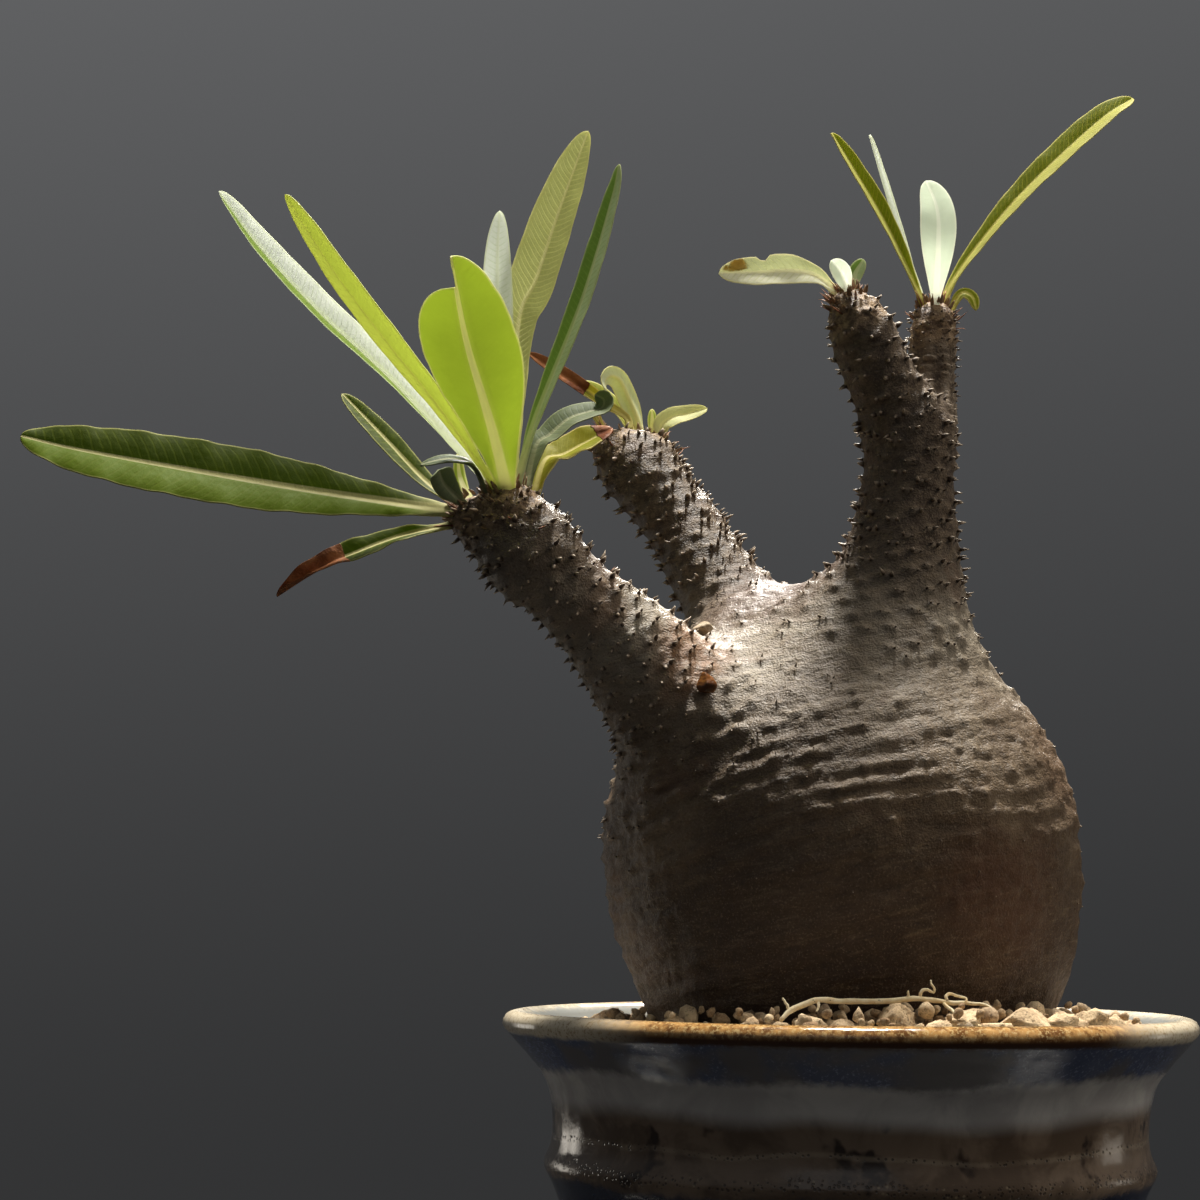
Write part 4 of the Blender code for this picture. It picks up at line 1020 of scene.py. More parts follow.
def granule_spots(draw):
    """Granules let fall one by one, each coming to rest on the soil or on earlier ones."""
    placed = np.array([(x, y, soil_height(x, y) + 0.4 * r, r) for x, y, r in CLODS])
    rows = [tuple(row) for row in placed]
    for count, small, large in GRANULES:
        for _ in range(count):
            away, turn = draw.uniform(31, 57.5), draw.uniform(0, math.tau)
            x, y = away * math.cos(turn), away * math.sin(turn)
            radius = draw.uniform(small, large)
            level = soil_height(x, y)
            z = level + draw.uniform(-0.5, 0.2) * radius
            known = np.array(rows)
            gap = np.hypot(known[:, 0] - x, known[:, 1] - y)
            near = known[gap < GRANULE_PACK * (known[:, 3] + radius)]
            if len(near):
                reach = GRANULE_PACK * (near[:, 3] + radius)
                flat = np.hypot(near[:, 0] - x, near[:, 1] - y)
                z = max(z, float((near[:, 2] + np.sqrt(reach ** 2 - flat ** 2)).max()))
            if z + radius > level + (4.9 if y < -20 else 3.1) or z + radius > GRANULE_TOP:
                continue
            if math.hypot(x, y) + radius > inner_radius(min(z, 61)) - 0.3:
                continue
            if body_distance(np.array([(x, y, z)]))[0] < 0.9 * radius:
                continue
            rows.append((x, y, z, radius))
    return rows[len(CLODS):]


draw = random.Random(7)
clay_material = clay_finish()
rings = soil_rings()
pole = (BODY_CENTRE[0] + BODY_LEAN * (BODY_BELOW + HOLE_GAP), BODY_CENTRE[1],
        BODY_CENTRE[2] - BODY_BELOW - HOLE_GAP)
soil = add_mesh("soil_mass", [(0, 0, SOIL_BOTTOM)] + [p for ring in rings for p in ring] + [pole],
                turned_faces(len(rings), SOIL_STEPS), clay_material)
note(soil, "tint", np.full(len(soil.data.vertices), 0.25))
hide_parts("soil")
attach(soil, "root")

granules = granule_spots(draw)
soil_grains = stand_copies("soil_grains", [row[:3] for row in granules],
                           [Vector([draw.uniform(-1, 1) for _ in range(3)]).normalized()
                            for _ in granules], [row[3] for row in granules],
                           [lump("granule_pattern", 1.0, 2, draw, clay_material)
                            for _ in range(7)], clay_material,
                           [draw.random() for _ in granules])
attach(soil_grains, "root")

for index, (x, y, radius) in enumerate(CLODS):
    clod = lump("clod_%d" % (index + 1), radius * 1.1, 4, draw, clay_material, 0.42)
    flat = Matrix.Diagonal((1.1, draw.uniform(0.8, 1), draw.uniform(0.66, 0.85), 1))
    turn = Matrix.Rotation(draw.uniform(0, math.tau), 4, "Z")
    level = min(soil_height(x, y) + 0.4 * radius, GRANULE_TOP - 0.8 * radius) * MM
    clod.data.transform(Matrix.Translation((x * MM, y * MM, level)) @ turn @ flat)
    note(clod, "tint", np.full(len(clod.data.vertices), draw.uniform(0.5, 1.0)))
    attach(clod, "root")

# Leaves
# Each leaf grew from a crown as one blade: leathery, green above and felted pale grey below,
# with a thick midrib, fine side veins and a thin pale margin. Dry tips are brown paper.
LEAF_STATION = 0.85
LEAF_BASE_SHARE = 0.17
LEAF_WIDEST = 0.59
LEAF_ACROSS = (-1, -0.985, -0.94, -0.84, -0.7, -0.55, -0.4, -0.26, -0.15, -0.06, 0,
               0.06, 0.15, 0.26, 0.4, 0.55, 0.7, 0.84, 0.94, 0.985, 1)
LEAF_STEM = 0.57
LEAF_MIDDLE = 0.24
LEAF_MARGIN = 0.1
LEAF_CAMBER = 0.12
LEAF_STEM_SHARE = 0.12
LEAF_POINTS = 400


def half_share(t, widest, end, blunt):
    """Half width along a leaf as a share of the widest."""
    if t < widest:
        rise = math.sin(math.pi / 2 * (t / widest) ** 1.15)
        return LEAF_BASE_SHARE + (1 - LEAF_BASE_SHARE) * rise
    return math.sqrt(max(1 - ((t - widest) / (end - widest)) ** blunt, 0))


def carried(along, first):
    """A facing direction carried along a path without twist."""
    normals, normal = [], np.array(first, float)
    for direction in along:
        normal = unit(normal - direction * normal.dot(direction))
        normals.append(normal)
    return np.array(normals)


def make_leaf(name, start, through, half_width, face, fold, finish, widest=LEAF_WIDEST,
              ends=(1, 1), blunt=(2.2, 2.2), pale=(0, 0), dry_from=2.0, curl=0, wave=0.02,
              notches=(), stain=None, rib=1.0):
    """One leaf on its midrib, which starts in the bark. Pairs are for its two halves."""
    knots = [np.array(start)] + [np.array(p, float) for p in through]
    length = sum(np.linalg.norm(b - a) for a, b in zip(knots[:-1], knots[1:]))
    count = max(26, round(length / LEAF_STATION))
    dense = spline(knots, LEAF_POINTS)
    places = 1 - (1 - np.linspace(0, 1, count)) ** 1.35
    even = np.linspace(0, 1, LEAF_POINTS)
    path = np.stack([np.interp(places, even, dense[:, k]) for k in range(3)], axis=1)
    along = directions(path)
    seed = sum(ord(letter) for letter in name)
    points, values = [], []
    for t, centre, direction, normal in zip(places, path, along, carried(along, face)):
        stem = max(0, 1 - t / LEAF_STEM_SHARE)
        across = np.cross(direction, normal)
        bend = math.radians(fold) * (1 - stem) + math.radians(curl) * max(0, t - 0.6) / 0.4
        widths = []
        for side in (0, 1):
            width = half_width * half_share(t, widest, ends[side], blunt[side])
            for at, reach, depth, which in notches:
                if which == side:
                    width *= 1 - depth * math.exp(-((t - at) / reach) ** 2)
            widths.append(max(width, 0.8 * (1 - t) * (t < 0.5) + 0.1))
        rib_wide = rib * (0.95 * (1 - t) + 0.18)
        upper, lower, marks = [], [], []
        for s in LEAF_ACROSS:
            side = int(s > 0)
            width = widths[side]
            out = abs(s) * width
            soft = min(0.5, 0.15 * width)
            lift = math.sin(bend) * (math.sqrt(out ** 2 + soft ** 2) - soft)
            lift -= LEAF_CAMBER * width * abs(s) ** 2.6 * (1 - stem)
            ripple = math.sin(math.tau * t * length / 11 + seed + 1.9 * side)
            ripple += 0.6 * math.sin(math.tau * t * length / 5.3 + 2.7 * seed - side)
            lift += wave * half_width * ripple * s * s * (1 - stem)
            spot = centre + across * math.copysign(out * math.cos(bend), s) + normal * lift
            thick = LEAF_MARGIN + (LEAF_MIDDLE - LEAF_MARGIN) * (1 - abs(s) ** 1.5)
            under = thick + 0.38 * rib_wide * math.sqrt(max(0, 1 - (out / rib_wide) ** 2))
            over = thick - 0.08 * math.exp(-(out / 0.5) ** 2)
            round_stem = LEAF_STEM * math.sqrt(max(1 - s * s, 0.02))
            upper.append(spot + normal * (over + (round_stem - over) * stem))
            lower.append(spot - normal * (under + (round_stem - under) * stem))
            dry = max(float(t > dry_from), step_between(t, dry_from - 0.05, dry_from + 0.05))
            if stain:
                dry = max(dry, 0.66 * math.exp(-((t - stain[0]) / stain[2]) ** 2
                                               - ((s - stain[1]) / stain[3]) ** 2))
            marks.append((t, s, out, t * length, 1, width, pale[side], dry, stem))
        points += upper + lower[::-1]
        values += marks + [(*mark[:4], 0, *mark[5:]) for mark in marks[::-1]]
    ring = 2 * len(LEAF_ACROSS)
    faces = [(i * ring + k, i * ring + (k + 1) % ring, (i + 1) * ring + (k + 1) % ring,
              (i + 1) * ring + k) for i in range(count - 1) for k in range(ring)]
    for base in (0, (count - 1) * ring):
        faces += [(base + k, base + k + 1, base + ring - 2 - k, base + ring - 1 - k)
                  for k in range(len(LEAF_ACROSS) - 1)]
    leaf = add_mesh(name, points, faces, leaf_looks[finish])
    note(leaf, "leaf_rib", np.full(len(points), rib))
    for k, key in enumerate(("leaf_place", "leaf_face", "leaf_tone")):
        note(leaf, key, np.array(values)[:, 3 * k:3 * k + 3])
    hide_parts("leaf_" + name)
    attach(leaf, "root")


def leaf_finish(name, tops, unders, pale, vein, rib, edge, glow, share, veins, pitch, slant,
                dry=((160, 104, 66), (106, 60, 36))):
    """Blade with a network of veins, a midrib, a margin and dry ends, lit through from behind."""
    leaf = Finish("leaf_" + name, 0.45)
    where = leaf.place()
    along, side, out = leaf.apart(leaf.named("leaf_place", "Vector"))
    run, top, width = leaf.apart(leaf.named("leaf_face", "Vector"))
    light, dried, stem = leaf.apart(leaf.named("leaf_tone", "Vector"))
    broad = leaf.mottle(where, 110, 3.0, 0.6)
    fine = leaf.mottle(where, 900, 3.0, 0.6)
    # side veins leave the midrib at a slant and bend towards the tip
    lag = leaf.times(leaf.times(out, out), 0.04, leaf.times(out, slant))
    phase = leaf.times(broad, 1.4, leaf.times(leaf.maths("SUBTRACT", run, lag), 1 / pitch))
    ridge = leaf.maths("ABSOLUTE", leaf.times(leaf.maths("FRACT", phase), 1, -0.5))
    inset = leaf.times(leaf.times(leaf.maths("ABSOLUTE", side), -1, 1), width)
    line = leaf.times(leaf.grade(ridge, 0.19, 0.04), leaf.grade(inset, 0.2, 1.2))
    mesh = leaf.grade(leaf.cells(where, 1250, "DISTANCE_TO_EDGE"), 0.12, 0.02)
    web = leaf.times(leaf.maths("MAXIMUM", line, leaf.times(mesh, 0.3)), veins)
    border = leaf.grade(inset, 0.36, 0.16)
    rib_wide = leaf.times(leaf.times(along, -0.60, 0.80), leaf.named("leaf_rib"))
    middle = leaf.grade(leaf.maths("DIVIDE", out, rib_wide), 1.1, 0.7)
    blade = leaf.blend(top, leaf.fade(broad, 0.35, 0.65, *unders),
                       leaf.fade(broad, 0.35, 0.65, *tops))
    # one half of some blades is painted paler: partly the felted underside, partly painted light on the
    # half that faces the light
    blade = leaf.blend(leaf.times(light, 0.85), blade, pale)
    blade = leaf.coats(leaf.blend(web, blade, vein), (fine, 0.5, 0.7, 0.14, vein))
    blade = leaf.blend(leaf.times(border, 0.85), blade, edge)
    blade = leaf.fade(stem, 0.0, 0.9, leaf.blend(middle, blade, rib), rib)
    ragged = leaf.grade(leaf.sway(leaf.sway(dried, broad, 1.1), fine, 0.7), 0.42, 0.58)
    leaf.colour(leaf.blend(ragged, blade, leaf.fade(broad, 0.4, 0.6, *dry)))
    leaf.gloss(leaf.grade(top, 0, 1, 0.66, 0.54))
    leaf.shader.inputs["Specular IOR Level"].default_value = 0.1
    leaf.relief((web, -0.03), (broad, 0.35), (fine, 0.03),
                (leaf.times(leaf.mottle(where, 420), ragged), 0.5))
    shine = leaf.blend(leaf.times(light, 0.85), glow, pale)
    shine = leaf.blend(leaf.times(web, 0.5), shine, vein)
    shine = leaf.blend(leaf.times(leaf.maths("MAXIMUM", middle, border), 0.85), shine, rib)
    shine = leaf.blend(ragged, shine, dry[0])
    through = leaf.node("ShaderNodeBsdfTranslucent", {"Color": shine, "Normal": leaf.normal})
    amount = leaf.times(leaf.times(ragged, -0.6, 1.0), share)
    mixed = leaf.node("ShaderNodeMixShader", {0: amount, 1: leaf.shader.outputs[0],
                                              2: through.outputs[0]})
    leaf.feed(leaf.tree.nodes["Material Output"].inputs["Surface"], mixed.outputs[0])
    return leaf.material


# by name: two shades of the upper face, two of the lower, paler half, veins, midrib, margin, light
# through the blade and how much, then the side veins' strength, pitch and slant, and two shades of the
# dry ends where they are not brown. The paler half is partly painted light on the half that faces the
# light, and some finishes are one leaf colour painted lighter or darker for the light it stands in.
LEAF_COLOURS = {
    "deep": (((56, 66, 10), (68, 78, 16)), ((80, 94, 30), (92, 106, 40)), (104, 126, 12), (112, 124, 36),
             (186, 180, 124), (160, 160, 92), (160, 190, 60), 0.24, 0.4, 1.7, 0.45),
    # slate is partly painted shade, darker for leaves that stand in shadow
    "slate": (((54, 66, 38), (74, 86, 56)), ((84, 94, 70), (106, 116, 92)), (128, 134, 100),
              (104, 114, 92), (140, 142, 110), (132, 138, 102), (120, 140, 84), 0.26, 0.6, 1.1, 0.1),
    "bright": (((116, 138, 34), (130, 150, 44)), ((116, 138, 34), (130, 150, 44)), (196, 204, 128),
               (150, 168, 70), (240, 236, 190), (212, 216, 146), (214, 228, 120), 0.42, 0.22, 1.5, 0.5),
    "lemon": (((146, 160, 50), (160, 174, 62)), ((146, 160, 50), (160, 174, 62)), (216, 220, 140),
              (180, 190, 96), (206, 208, 132), (214, 216, 150), (222, 230, 140), 0.47, 0.3, 1.4, 0.5),
    # silver and white are partly painted light, paler for leaves that light falls on or shines through
    "silver": (((150, 168, 96), (166, 182, 112)), ((214, 220, 208), (230, 234, 226)), (150, 172, 66),
               (192, 204, 170), (236, 239, 222), (224, 228, 190), (250, 252, 246), 0.64, 0.5, 1.2, 0.6),
    "white": (((200, 208, 184), (222, 228, 206)), ((200, 210, 186), (222, 228, 208)), (170, 186, 116),
              (224, 230, 212), (248, 249, 238), (236, 238, 212), (234, 240, 226), 0.7, 0.5, 1.2, 0.6),
    "olive": (((104, 112, 46), (120, 126, 58)), ((128, 132, 66), (144, 146, 80)), (170, 174, 110),
              (214, 214, 150), (220, 216, 160), (218, 214, 150), (232, 234, 182), 0.56, 0.95, 1.3, 0.9),
    "grey": (((66, 88, 32), (84, 104, 44)), ((140, 150, 108), (154, 163, 122)), (200, 210, 176),
             (140, 156, 96), (196, 200, 160), (188, 194, 144), (170, 196, 120), 0.42, 0.5, 1.2, 0.6),
    "streak": (((104, 118, 44), (124, 136, 60)), ((176, 184, 140), (190, 196, 156)), (242, 240, 222),
               (210, 212, 164), (236, 232, 200), (232, 226, 180), (240, 242, 208), 0.5, 0.75, 1.2, 0.7,
               ((226, 196, 112), (196, 160, 76))),
    "net": (((84, 92, 10), (98, 106, 18)), ((106, 108, 30), (118, 120, 40)), (206, 204, 116),
            (170, 164, 60), (206, 198, 112), (214, 206, 124), (196, 206, 84), 0.38, 0.7, 1.2, 0.9),
    "straw": (((136, 130, 28), (126, 128, 32)), ((176, 168, 76), (166, 164, 74)), (216, 212, 160),
              (166, 164, 70), (204, 194, 120), (222, 206, 140), (212, 204, 100), 0.38, 0.45, 1.2, 0.6),
    "petal": (((128, 136, 44), (150, 156, 66)), ((212, 218, 188), (224, 228, 200)), (226, 224, 178),
              (206, 208, 150), (224, 220, 166), (226, 222, 164), (222, 226, 160), 0.38, 0.35, 1.2, 0.6),
}
leaf_looks = {name: leaf_finish(name, *row) for name, row in LEAF_COLOURS.items()}

# Low tuft
# Five leaves on the left limb's lower fork. The longest reaches out to the left, and the thin one
# below it is half dry.
# the longest leaf's lower half is painted paler: a painted light on the half that faces up
make_leaf("low_long", (-72.2, -25.6, 150.6), ((-97, -29, 153.5), (-117.5, -31, 156.5),
          (-138.5, -32, 160), (-148.6, -32, 162.3)), 6.5, (0, -0.90, 0.44), 14, "deep", 0.53,
          pale=(0.9, 0), rib=1.3, blunt=(2.7, 2.7), wave=0.03)
make_leaf("low_dry", (-72.6, -23.8, 148.5), ((-81.9, -25.6, 146), (-89.3, -28, 142.8),
          (-95.8, -30, 139.6), (-103, -31, 134.6)), 3.0, (0.1, -0.75, 0.65), 34, "deep",
          dry_from=0.6, curl=50, wave=0.07, blunt=(3, 3))
make_leaf("low_short", (-71.5, -22.5, 151.9), ((-78, -18, 157), (-85.5, -15, 165),
          (-94, -12, 174)), 2.6, (0.25, -0.8, 0.5), 24, "deep")
make_leaf("low_husk", (-70.5, -26.5, 151.7), ((-74, -29.9, 154.8), (-75, -31.3, 157.2)),
          2.8, (0.1, -1, 0.2), 24, "slate", 0.84, blunt=(5, 5), pale=(1, 0.7))
make_leaf("low_strip", (-69.6, -22.4, 152.7), ((-71.7, -19.2, 157.6), (-72.3, -18.2, 162.2)),
          1.1, (0, -1, 0), 10, "bright")

# Fan tuft
# Nine leaves on the left limb's end. Those at the back show their felted underside, whose white is
# partly painted light, and the broad one in front is lit from behind.
make_leaf("fan_curl", (-66.3, -28.6, 153.2), ((-68.6, -32.6, 157.6), (-71.8, -34.5, 158.5),
          (-74.6, -36, 158.1), (-77.8, -37, 157.1)), 1.7, (0.2, -0.5, 0.85), 16, "slate")
make_leaf("fan_silver", (-65.2, -26.9, 154.5), ((-83.3, -25.5, 174.1), (-96.8, -22, 186.9),
          (-108.7, -18, 199.9), (-117, -15, 211)), 3.4, (0.3, 0.85, 0.35), 30, "silver",
          pale=(0, 0.95), notches=((0.5, 1.0, 0.42, 1),))
make_leaf("fan_bright", (-64.6, -29.6, 154.1), ((-74.3, -38, 167), (-83.2, -44, 177.3),
          (-92, -49, 188.3), (-100.6, -53, 201)), 2.9, (0.5, 0.8, 0.3), 20, "lemon",
          pale=(0, 0.6), rib=0.5)
make_leaf("fan_near", (-62.8, -30.5, 153.9), ((-65, -38, 162.5), (-67.4, -50, 169.8),
          (-69.3, -60, 176), (-71.2, -73, 185.9)), 8.8, (0, 0.45, 0.9), 20, "bright",
          ends=(1, 0.88), blunt=(1.9, 2.8), rib=1.5)
make_leaf("fan_back", (-63.9, -25.4, 154.6), ((-65, -23.2, 175.3), (-65.5, -21.5, 196.4),
          (-65.3, -19.5, 206.7)), 2.9, (0, 1, 0.1), 12, "silver")
make_leaf("fan_tall", (-62.2, -24.8, 154.4), ((-62, -14.5, 186), (-58.8, -10, 196.5),
          (-55, -5, 210), (-49.6, 1, 227.4)), 5.2, (-0.49, 0.86, 0.14), 28, "olive")
make_leaf("fan_narrow", (-61.2, -28.9, 154.8), ((-58, -28, 167), (-50, -26, 189),
          (-44.9, -23, 208), (-43.6, -22, 215)), 2.6, (-0.55, -0.8, 0.1), 26, "grey",
          pale=(0, 0.8))
make_leaf("fan_coil", (-59.6, -26.8, 154.1), ((-57.9, -24, 162.8), (-55.7, -23, 164.8),
          (-52.3, -22, 168), (-48.8, -21, 169.5), (-46.3, -20.5, 170.3), (-45.9, -20.2, 172),
          (-47.6, -20, 173)), 3.4, (-0.47, -0.68, 0.56), 20, "slate",
          pale=(0.4, 0.7))
make_leaf("fan_yellow", (-58.3, -24.5, 153.0), ((-56.5, -20.5, 160.6), (-53.4, -18.5, 162),
          (-49.5, -17, 164.4), (-44.3, -16.5, 167.4)), 4.2, (-0.3, -0.81, 0.5), 28, "straw",
          dry_from=0.88, wave=0.06)

# Rear tuft
# Five small leaves on the rear limb's right end, mostly yellowed, and a stub on its left end.
make_leaf("rear_brown", (-40.9, 32.3, 174.9), ((-41.3, 33, 177.9), (-44.9, 31.5, 179.9),
          (-48.5, 30.5, 182.2), (-54.1, 29.5, 185.8), (-61.1, 28, 189.9)),
          1.8, (0.3, -0.8, 0.5), 30, "straw", dry_from=0.5)
make_leaf("rear_hook", (-38.4, 35.1, 174.6), ((-39.6, 34.6, 178.6), (-41.4, 33.8, 182.6),
          (-43, 32, 185.4), (-44.9, 29.8, 185.8), (-46, 28.4, 184.2), (-45.6, 27.8, 182.4)),
          2.3, (-0.3, 0.85, -0.3), 16, "petal", 0.42, blunt=(2.4, 2.4))
make_leaf("rear_fold", (-39.1, 37.8, 173.1), ((-42.3, 37.5, 179.3), (-45.5, 38, 182.6),
          (-48.4, 37.5, 184.6), (-51.6, 37, 185.6)), 1.9, (0.3, -0.8, 0.5), 26, "petal")
make_leaf("rear_bud", (-36.2, 35.5, 174.3), ((-36.2, 35.7, 177), (-36.3, 35.8, 180.2)),
          0.95, (0, -1, 0), 6, "bright")
make_leaf("rear_yellow", (-34.2, 34.6, 173.5), ((-34.2, 35.2, 176.7), (-32.2, 35.6, 178.4),
          (-29.6, 36.4, 179.2), (-25.2, 37.2, 180.6)), 2.4, (-0.2, -0.85, 0.5), 30, "petal",
          0.34, pale=(0.8, 0.7))
make_leaf("stub", (-45.7, 31.8, 174.6), ((-47.6, 30.6, 178), (-49, 30, 180.4)),
          1.0, (0.3, -0.9, 0.2), 20, "straw", dry_from=0.7)

# Right tufts
# Three leaves on the front fork and five on the back fork of the right limb.
make_leaf("mid_long", (-3.1, -16.4, 192.3), ((-7.8, -19, 195.4), (-12.5, -21, 195.8),
          (-18.2, -22, 195.3), (-25.5, -23, 194.8)), 3.4, (0, -0.87, 0.48), 28, "streak",
          pale=(1, 0), stain=(0.86, 0.6, 0.14, 0.55), notches=((0.66, 0.035, 0.4, 1),), wave=0.06)
make_leaf("mid_pale", (-1.5, -17.5, 192.6), ((-3, -19.6, 195.6), (-5, -20.6, 198)),
          2.1, (0.3, -0.95, 0.2), 18, "white")
make_leaf("mid_green", (-0.6, -14.2, 193.1), ((-0.2, -13, 196.8), (1.6, -12, 200.2)),
          1.5, (0.2, -0.95, 0.1), 14, "grey", pale=(0, 0.7))
make_leaf("right_long", (17.7, 2.7, 194.4), ((21.6, 4, 202.2), (33, 6, 216.8),
          (48.4, 8, 232), (55.6, 9, 237.2)), 3.5, (-0.5, -0.75, 0.35), 28, "net", 0.76,
          pale=(0, 0.95), blunt=(3, 3), rib=0.6)
make_leaf("right_slim", (14.3, 1.2, 194.3), ((10.4, 0, 202.5), (6, -1, 211),
          (1.3, -2, 218.7), (-3.6, -3, 226.5)), 2.9, (0.6, -0.7, 0.35), 32, "net",
          pale=(0.95, 0), rib=0.6)
make_leaf("right_edge", (14.8, 3.7, 194.1), ((11.4, 8, 207), (8.3, 11.5, 219),
          (5.2, 13, 230.6)), 1.2, (0.85, 0.3, 0.3), 40, "silver")
make_leaf("right_white", (16.3, 0.2, 194.4), ((16.6, -2, 205), (16.5, -1, 212.4),
          (14.4, -1, 218)), 3.5, (0, 0.98, 0.1), 12, "white", 0.62, blunt=(2.8, 1.9))
make_leaf("right_curl", (19.0, 2.3, 193.2), ((21.4, 2.4, 197), (23.4, 2, 196.4),
          (24.2, 1.6, 193.8)), 1.3, (-0.1, -0.6, 0.8), 14, "net")

# Crown bristles
# Young thorns, long and reddish, and dry papery scales between the leaf bases of each tuft.
CROWNS = ((FORK_LOW, 42), (FORK_FAN, 60), (FORK_REAR_RIGHT, 40), (FORK_REAR_LEFT, 26),
          (FORK_FRONT, 50), (FORK_BACK, 52))
BRISTLE_LENGTH = 3.0
BRISTLE_RADIUS = 0.2
SCALE_LENGTH = 2.4


def crown_spots(draw, spread, share):
    """Roots round the ends of the limbs and the directions that they grow in."""
    roots, aims = [], []
    for fork, count in CROWNS:
        end = np.array(fork[-1][:3], float)
        axis = unit(end - np.array(fork[-2][:3], float))
        outs = np.array([unit(axis + spread * np.array([draw.gauss(0, 1) for _ in range(3)]))
                         for _ in range(round(count * share))])
        centres = np.tile(end, (len(outs), 1))
        spots, good = bark_points(centres, outs, np.full(len(outs), fork[-1][3]))
        roots += list(spots[good])
        aims += list(outs[good] * 0.8 + axis * 0.5)
    return np.array(roots), np.array(aims)


def scale_pattern(draw, material):
    """A pointed papery scale, cupped round its length."""
    points, rows = [], 6
    lean = draw.uniform(0.1, 0.5)
    for layer in (0.05, -0.05):
        for i in range(rows):
            t = i / (rows - 1)
            wide = 0.62 * (1 - t) ** 0.6 * (0.5 + 0.5 * min(t / 0.2, 1)) + 0.03
            for j in range(5):
                s = j / 2 - 1
                points.append((wide * s, layer + 0.35 * wide * s * s + lean * t * t,
                               SCALE_LENGTH * t - 0.4))
    faces = []
    for i in range(rows - 1):
        for j in range(4):
            a = i * 5 + j
            faces += [(a, a + 1, a + 6, a + 5), (a + 30, a + 35, a + 36, a + 31)]
    rim = ([j for j in range(5)] + [i * 5 + 4 for i in range(1, rows)]
           + [25 + j for j in (3, 2, 1, 0)] + [i * 5 for i in range(rows - 2, 0, -1)])
    faces += [(a, b, b + 30, a + 30) for a, b in zip(rim, rim[1:] + rim[:1])]
    return add_mesh("scale_pattern", points, faces, material)


bristle_material = thorn_finish("bristle", (112, 62, 42), (176, 120, 84))
spots, leans = crown_spots(draw, 0.62, 0.42)
# three old ones that stayed on the left limb
spots = np.vstack([spots, ((-47.4, -20.6, 140.6), (-45.6, -21.6, 139.6), (-48.6, -19.6, 142.2))])
leans = np.vstack([leans, ((0.84, -0.3, 0.45), (0.7, -0.5, 0.5), (0.5, -0.2, 0.84))])
bristles = stand_copies("bristles", spots, leans, [draw.uniform(0.55, 1.15) for _ in spots],
                        [thorn_pattern(BRISTLE_LENGTH, BRISTLE_RADIUS, bend, bristle_material)
                         for bend in (0.05, 0.2, 0.35)], bristle_material)
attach(bristles, "root")

scale_material = thorn_finish("scales", (140, 112, 82), (214, 190, 152))
spots, leans = crown_spots(draw, 0.5, 1.5)
scales = stand_copies("scales", spots, leans, [draw.uniform(0.4, 0.85) for _ in spots],
                      [scale_pattern(draw, scale_material) for _ in range(3)], scale_material)
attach(scales, "root")

# Dry root
# A dead root with its side rootlets, washed out of the soil. It lies across the granules.
ROOT_MAIN = ((-15.4, -47.5, 62.5), (-13.8, -46.8, 64), (-11.4, -46.2, 65.1), (-9.1, -46, 65.9),
             (-5.7, -45.8, 65.7), (-1.6, -45.6, 65.7), (3.2, -45.4, 65.9), (7.4, -45.2, 66.3),
             (10.8, -45, 65.9), (13.5, -45, 65.5), (15.4, -45, 65.7), (17, -44.6, 65.5),
             (18.6, -44.6, 65.4), (19.9, -45, 64.8), (20.6, -45.6, 64))
ROOT_SIDES = (((-13.8, -46.8, 64), (-14.5, -46.4, 65.2), (-15, -46, 66.1)),
              ((-9.1, -46, 65.9), (-9, -46.8, 64.9), (-9.3, -47.2, 64)),
              ((6.1, -45.3, 66.2), (6.1, -45.3, 66.8), (6.1, -45.3, 67.4)),
              ((8.2, -45.2, 66.4), (8.4, -45, 67.5), (9.5, -44.8, 67.7), (10.5, -44.9, 67.4),
               (10.6, -45.2, 68), (10.1, -45.4, 68.6), (10, -45.2, 69.3)),
              ((12.7, -45, 65.8), (12.6, -44.6, 66.8), (13.6, -44.3, 67), (14.8, -44.5, 66.6),
               (15.7, -44.8, 66.4), (15.9, -45.2, 66), (15.3, -45.2, 65.6)),
              ((12.1, -45.2, 65.5), (13.9, -47.6, 63.8), (15.6, -50.2, 62.6), (17.3, -52.4, 62)))
ROOT_THICK = 1.05
ROOT_FINE = 0.62
ROOT_STEPS = 12


def tube_mesh(path, radii, sides):
    """Points and faces of a closed round bar along a path."""
    along = directions(path)
    points = [path[0] - along[0] * radii[0] * 0.7]
    for centre, direction, normal, radius in zip(path, along, carried(along, (0.3, -0.5, 0.8)),
                                                 radii):
        across = np.cross(direction, normal)
        points += [centre + c * normal + s * across
                   for c, s, _ in flat_ring(0, 0, 0, radius, radius, sides)]
    points.append(path[-1] + along[-1] * radii[-1] * 0.7)
    return points, turned_faces(len(path), sides)


